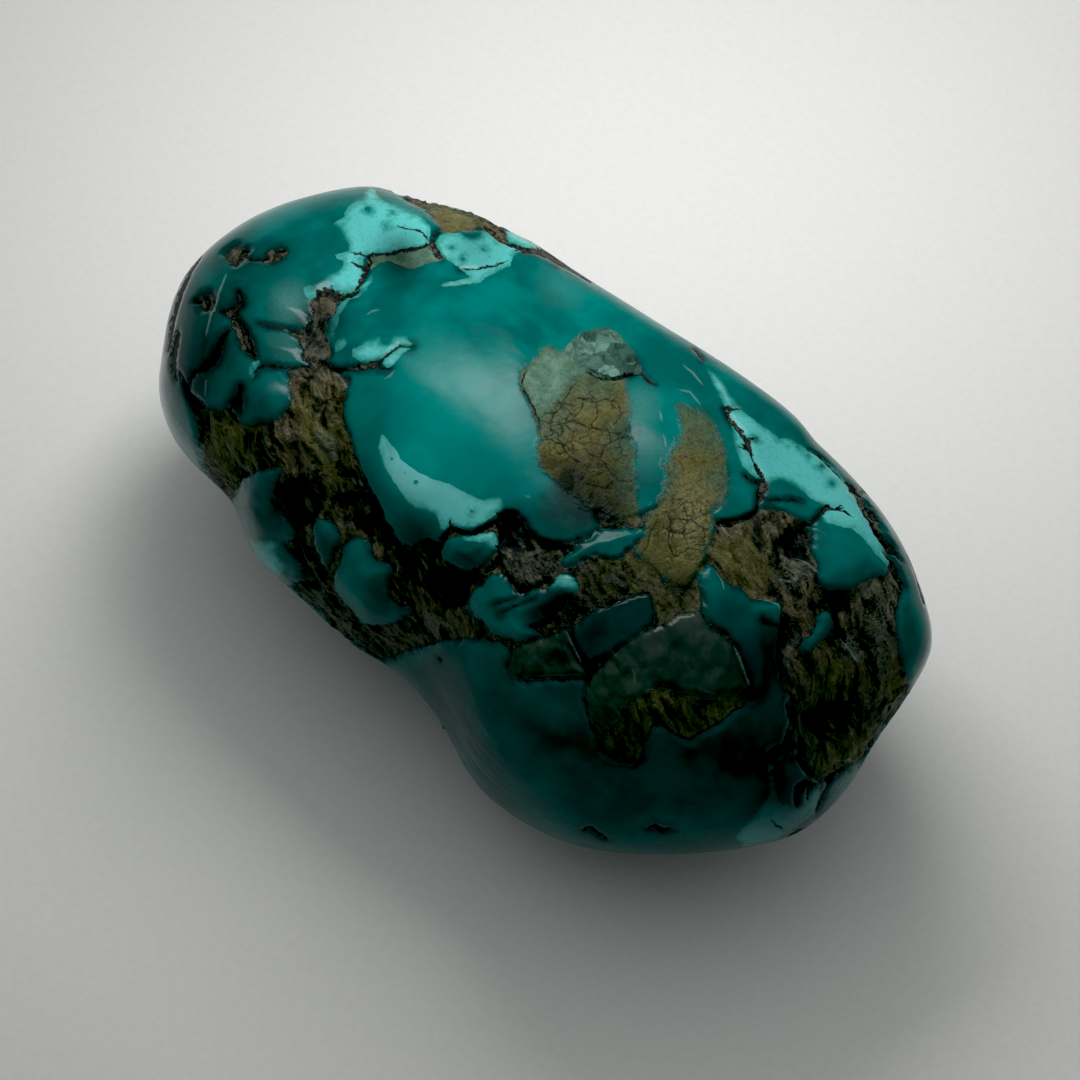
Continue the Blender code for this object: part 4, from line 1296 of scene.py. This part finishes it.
def turquoise_skin():
    """The finished outside of the stone, standing for the plain solid."""
    mesh = skin_mesh()
    mark(mesh)
    rough = bpy.data.objects.new("relief_source", mesh)
    bpy.context.scene.collection.objects.link(rough)
    finish = stone_finish()
    tree, sockets = relief_tree(finish)
    relief = rough.modifiers.new("relief", "NODES")
    relief.node_group = tree
    for name, identifier in sockets.items():
        relief[identifier] = RELIEF[name]
    done = bpy.data.meshes.new_from_object(rough.evaluated_get(bpy.context.evaluated_depsgraph_get()))
    done.name = "turquoise_skin"
    bpy.data.objects.remove(rough)
    done.shade_smooth()
    stone = bpy.data.objects.new("turquoise_skin", done)
    bpy.context.scene.collection.objects.link(stone)
    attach(stone, "root")
    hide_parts("nugget")
    return stone


def paper():
    """The sheet that the stone lies on."""
    half = 0.6
    mesh = bpy.data.meshes.new("paper")
    mesh.from_pydata([(-half, -half, 0), (half, -half, 0), (half, half, 0), (-half, half, 0)], [], [(0, 1, 2, 3)])
    mesh.materials.append(paper_finish())
    sheet = bpy.data.objects.new("paper", mesh)
    bpy.context.scene.collection.objects.link(sheet)


def direction(azimuth_deg, elevation_deg):
    """A direction by its compass angle from +Y toward +X, and its height."""
    turn, lift = math.radians(azimuth_deg), math.radians(elevation_deg)
    return Vector((math.sin(turn) * math.cos(lift), math.cos(turn) * math.cos(lift), math.sin(lift)))


def window():
    """The soft rectangular light."""
    lamp = bpy.data.lights.new("window", "AREA")
    lamp.shape = "RECTANGLE"
    lamp.size, lamp.size_y = (side * MM for side in WINDOW_SIZE)
    lamp.energy = WINDOW_RADIANCE * math.pi * lamp.size * lamp.size_y
    light = bpy.data.objects.new("window", lamp)
    light.location = Vector(WINDOW_PLACE) * MM
    light.rotation_euler = (*(math.radians(tilt) for tilt in WINDOW_TILT_DEG), 0.0)
    bpy.context.scene.collection.objects.link(light)


def room():
    """Surroundings that are dim in front of the stone and brighter above and behind it."""
    world = bpy.data.worlds.new("room")
    world.use_nodes = True
    world.node_tree.nodes.clear()
    n = Nodes(world.node_tree)
    way = n.add("ShaderNodeTexCoord").outputs["Generated"]
    bright = tuple(direction(ROOM_AZIMUTH_DEG, ROOM_ELEVATION_DEG))
    along = n.add("ShaderNodeVectorMath", {0: way, 1: bright}, operation="DOT_PRODUCT").outputs["Value"]
    share = n.math("POWER", n.math("MAXIMUM", along, 0.0), 2.0)
    strength = n.math("MULTIPLY_ADD", share, ROOM_BRIGHT, ROOM_DIM)
    light = n.add("ShaderNodeBackground", {"Color": (1.0, 1.0, 1.0, 1.0), "Strength": strength})
    n.add("ShaderNodeOutputWorld", {"Surface": light.outputs[0]})
    bpy.context.scene.world = world


def exposure():
    """A plain view with slightly deepened blacks."""
    view = bpy.context.scene.view_settings
    view.view_transform = "Standard"
    view.use_curve_mapping = True
    view.curve_mapping.black_level = BLACK_LEVELS
    view.curve_mapping.update()


def camera():
    """Looks down on the stone from in front of its hollowed end."""
    lens = bpy.data.cameras.new("camera")
    lens.sensor_width = SENSOR_WIDTH
    lens.lens = SENSOR_WIDTH * EYE_DISTANCE / (PICTURE_SIDE * PIXEL)
    lens.shift_x = (PICTURE_SIDE / 2 - MIDDLE_PIXEL[0]) / PICTURE_SIDE
    lens.shift_y = (MIDDLE_PIXEL[1] - PICTURE_SIDE / 2) / PICTURE_SIDE
    lens.clip_start = 0.01
    eye = bpy.data.objects.new("camera", lens)
    eye.location = Vector(EYE * MM)
    eye.rotation_euler = (-Vector(LOOK[2])).to_track_quat("-Z", "Y").to_euler()
    bpy.context.scene.collection.objects.link(eye)
    bpy.context.scene.camera = eye


camera()
turquoise_skin()
paper()
window()
room()
exposure()
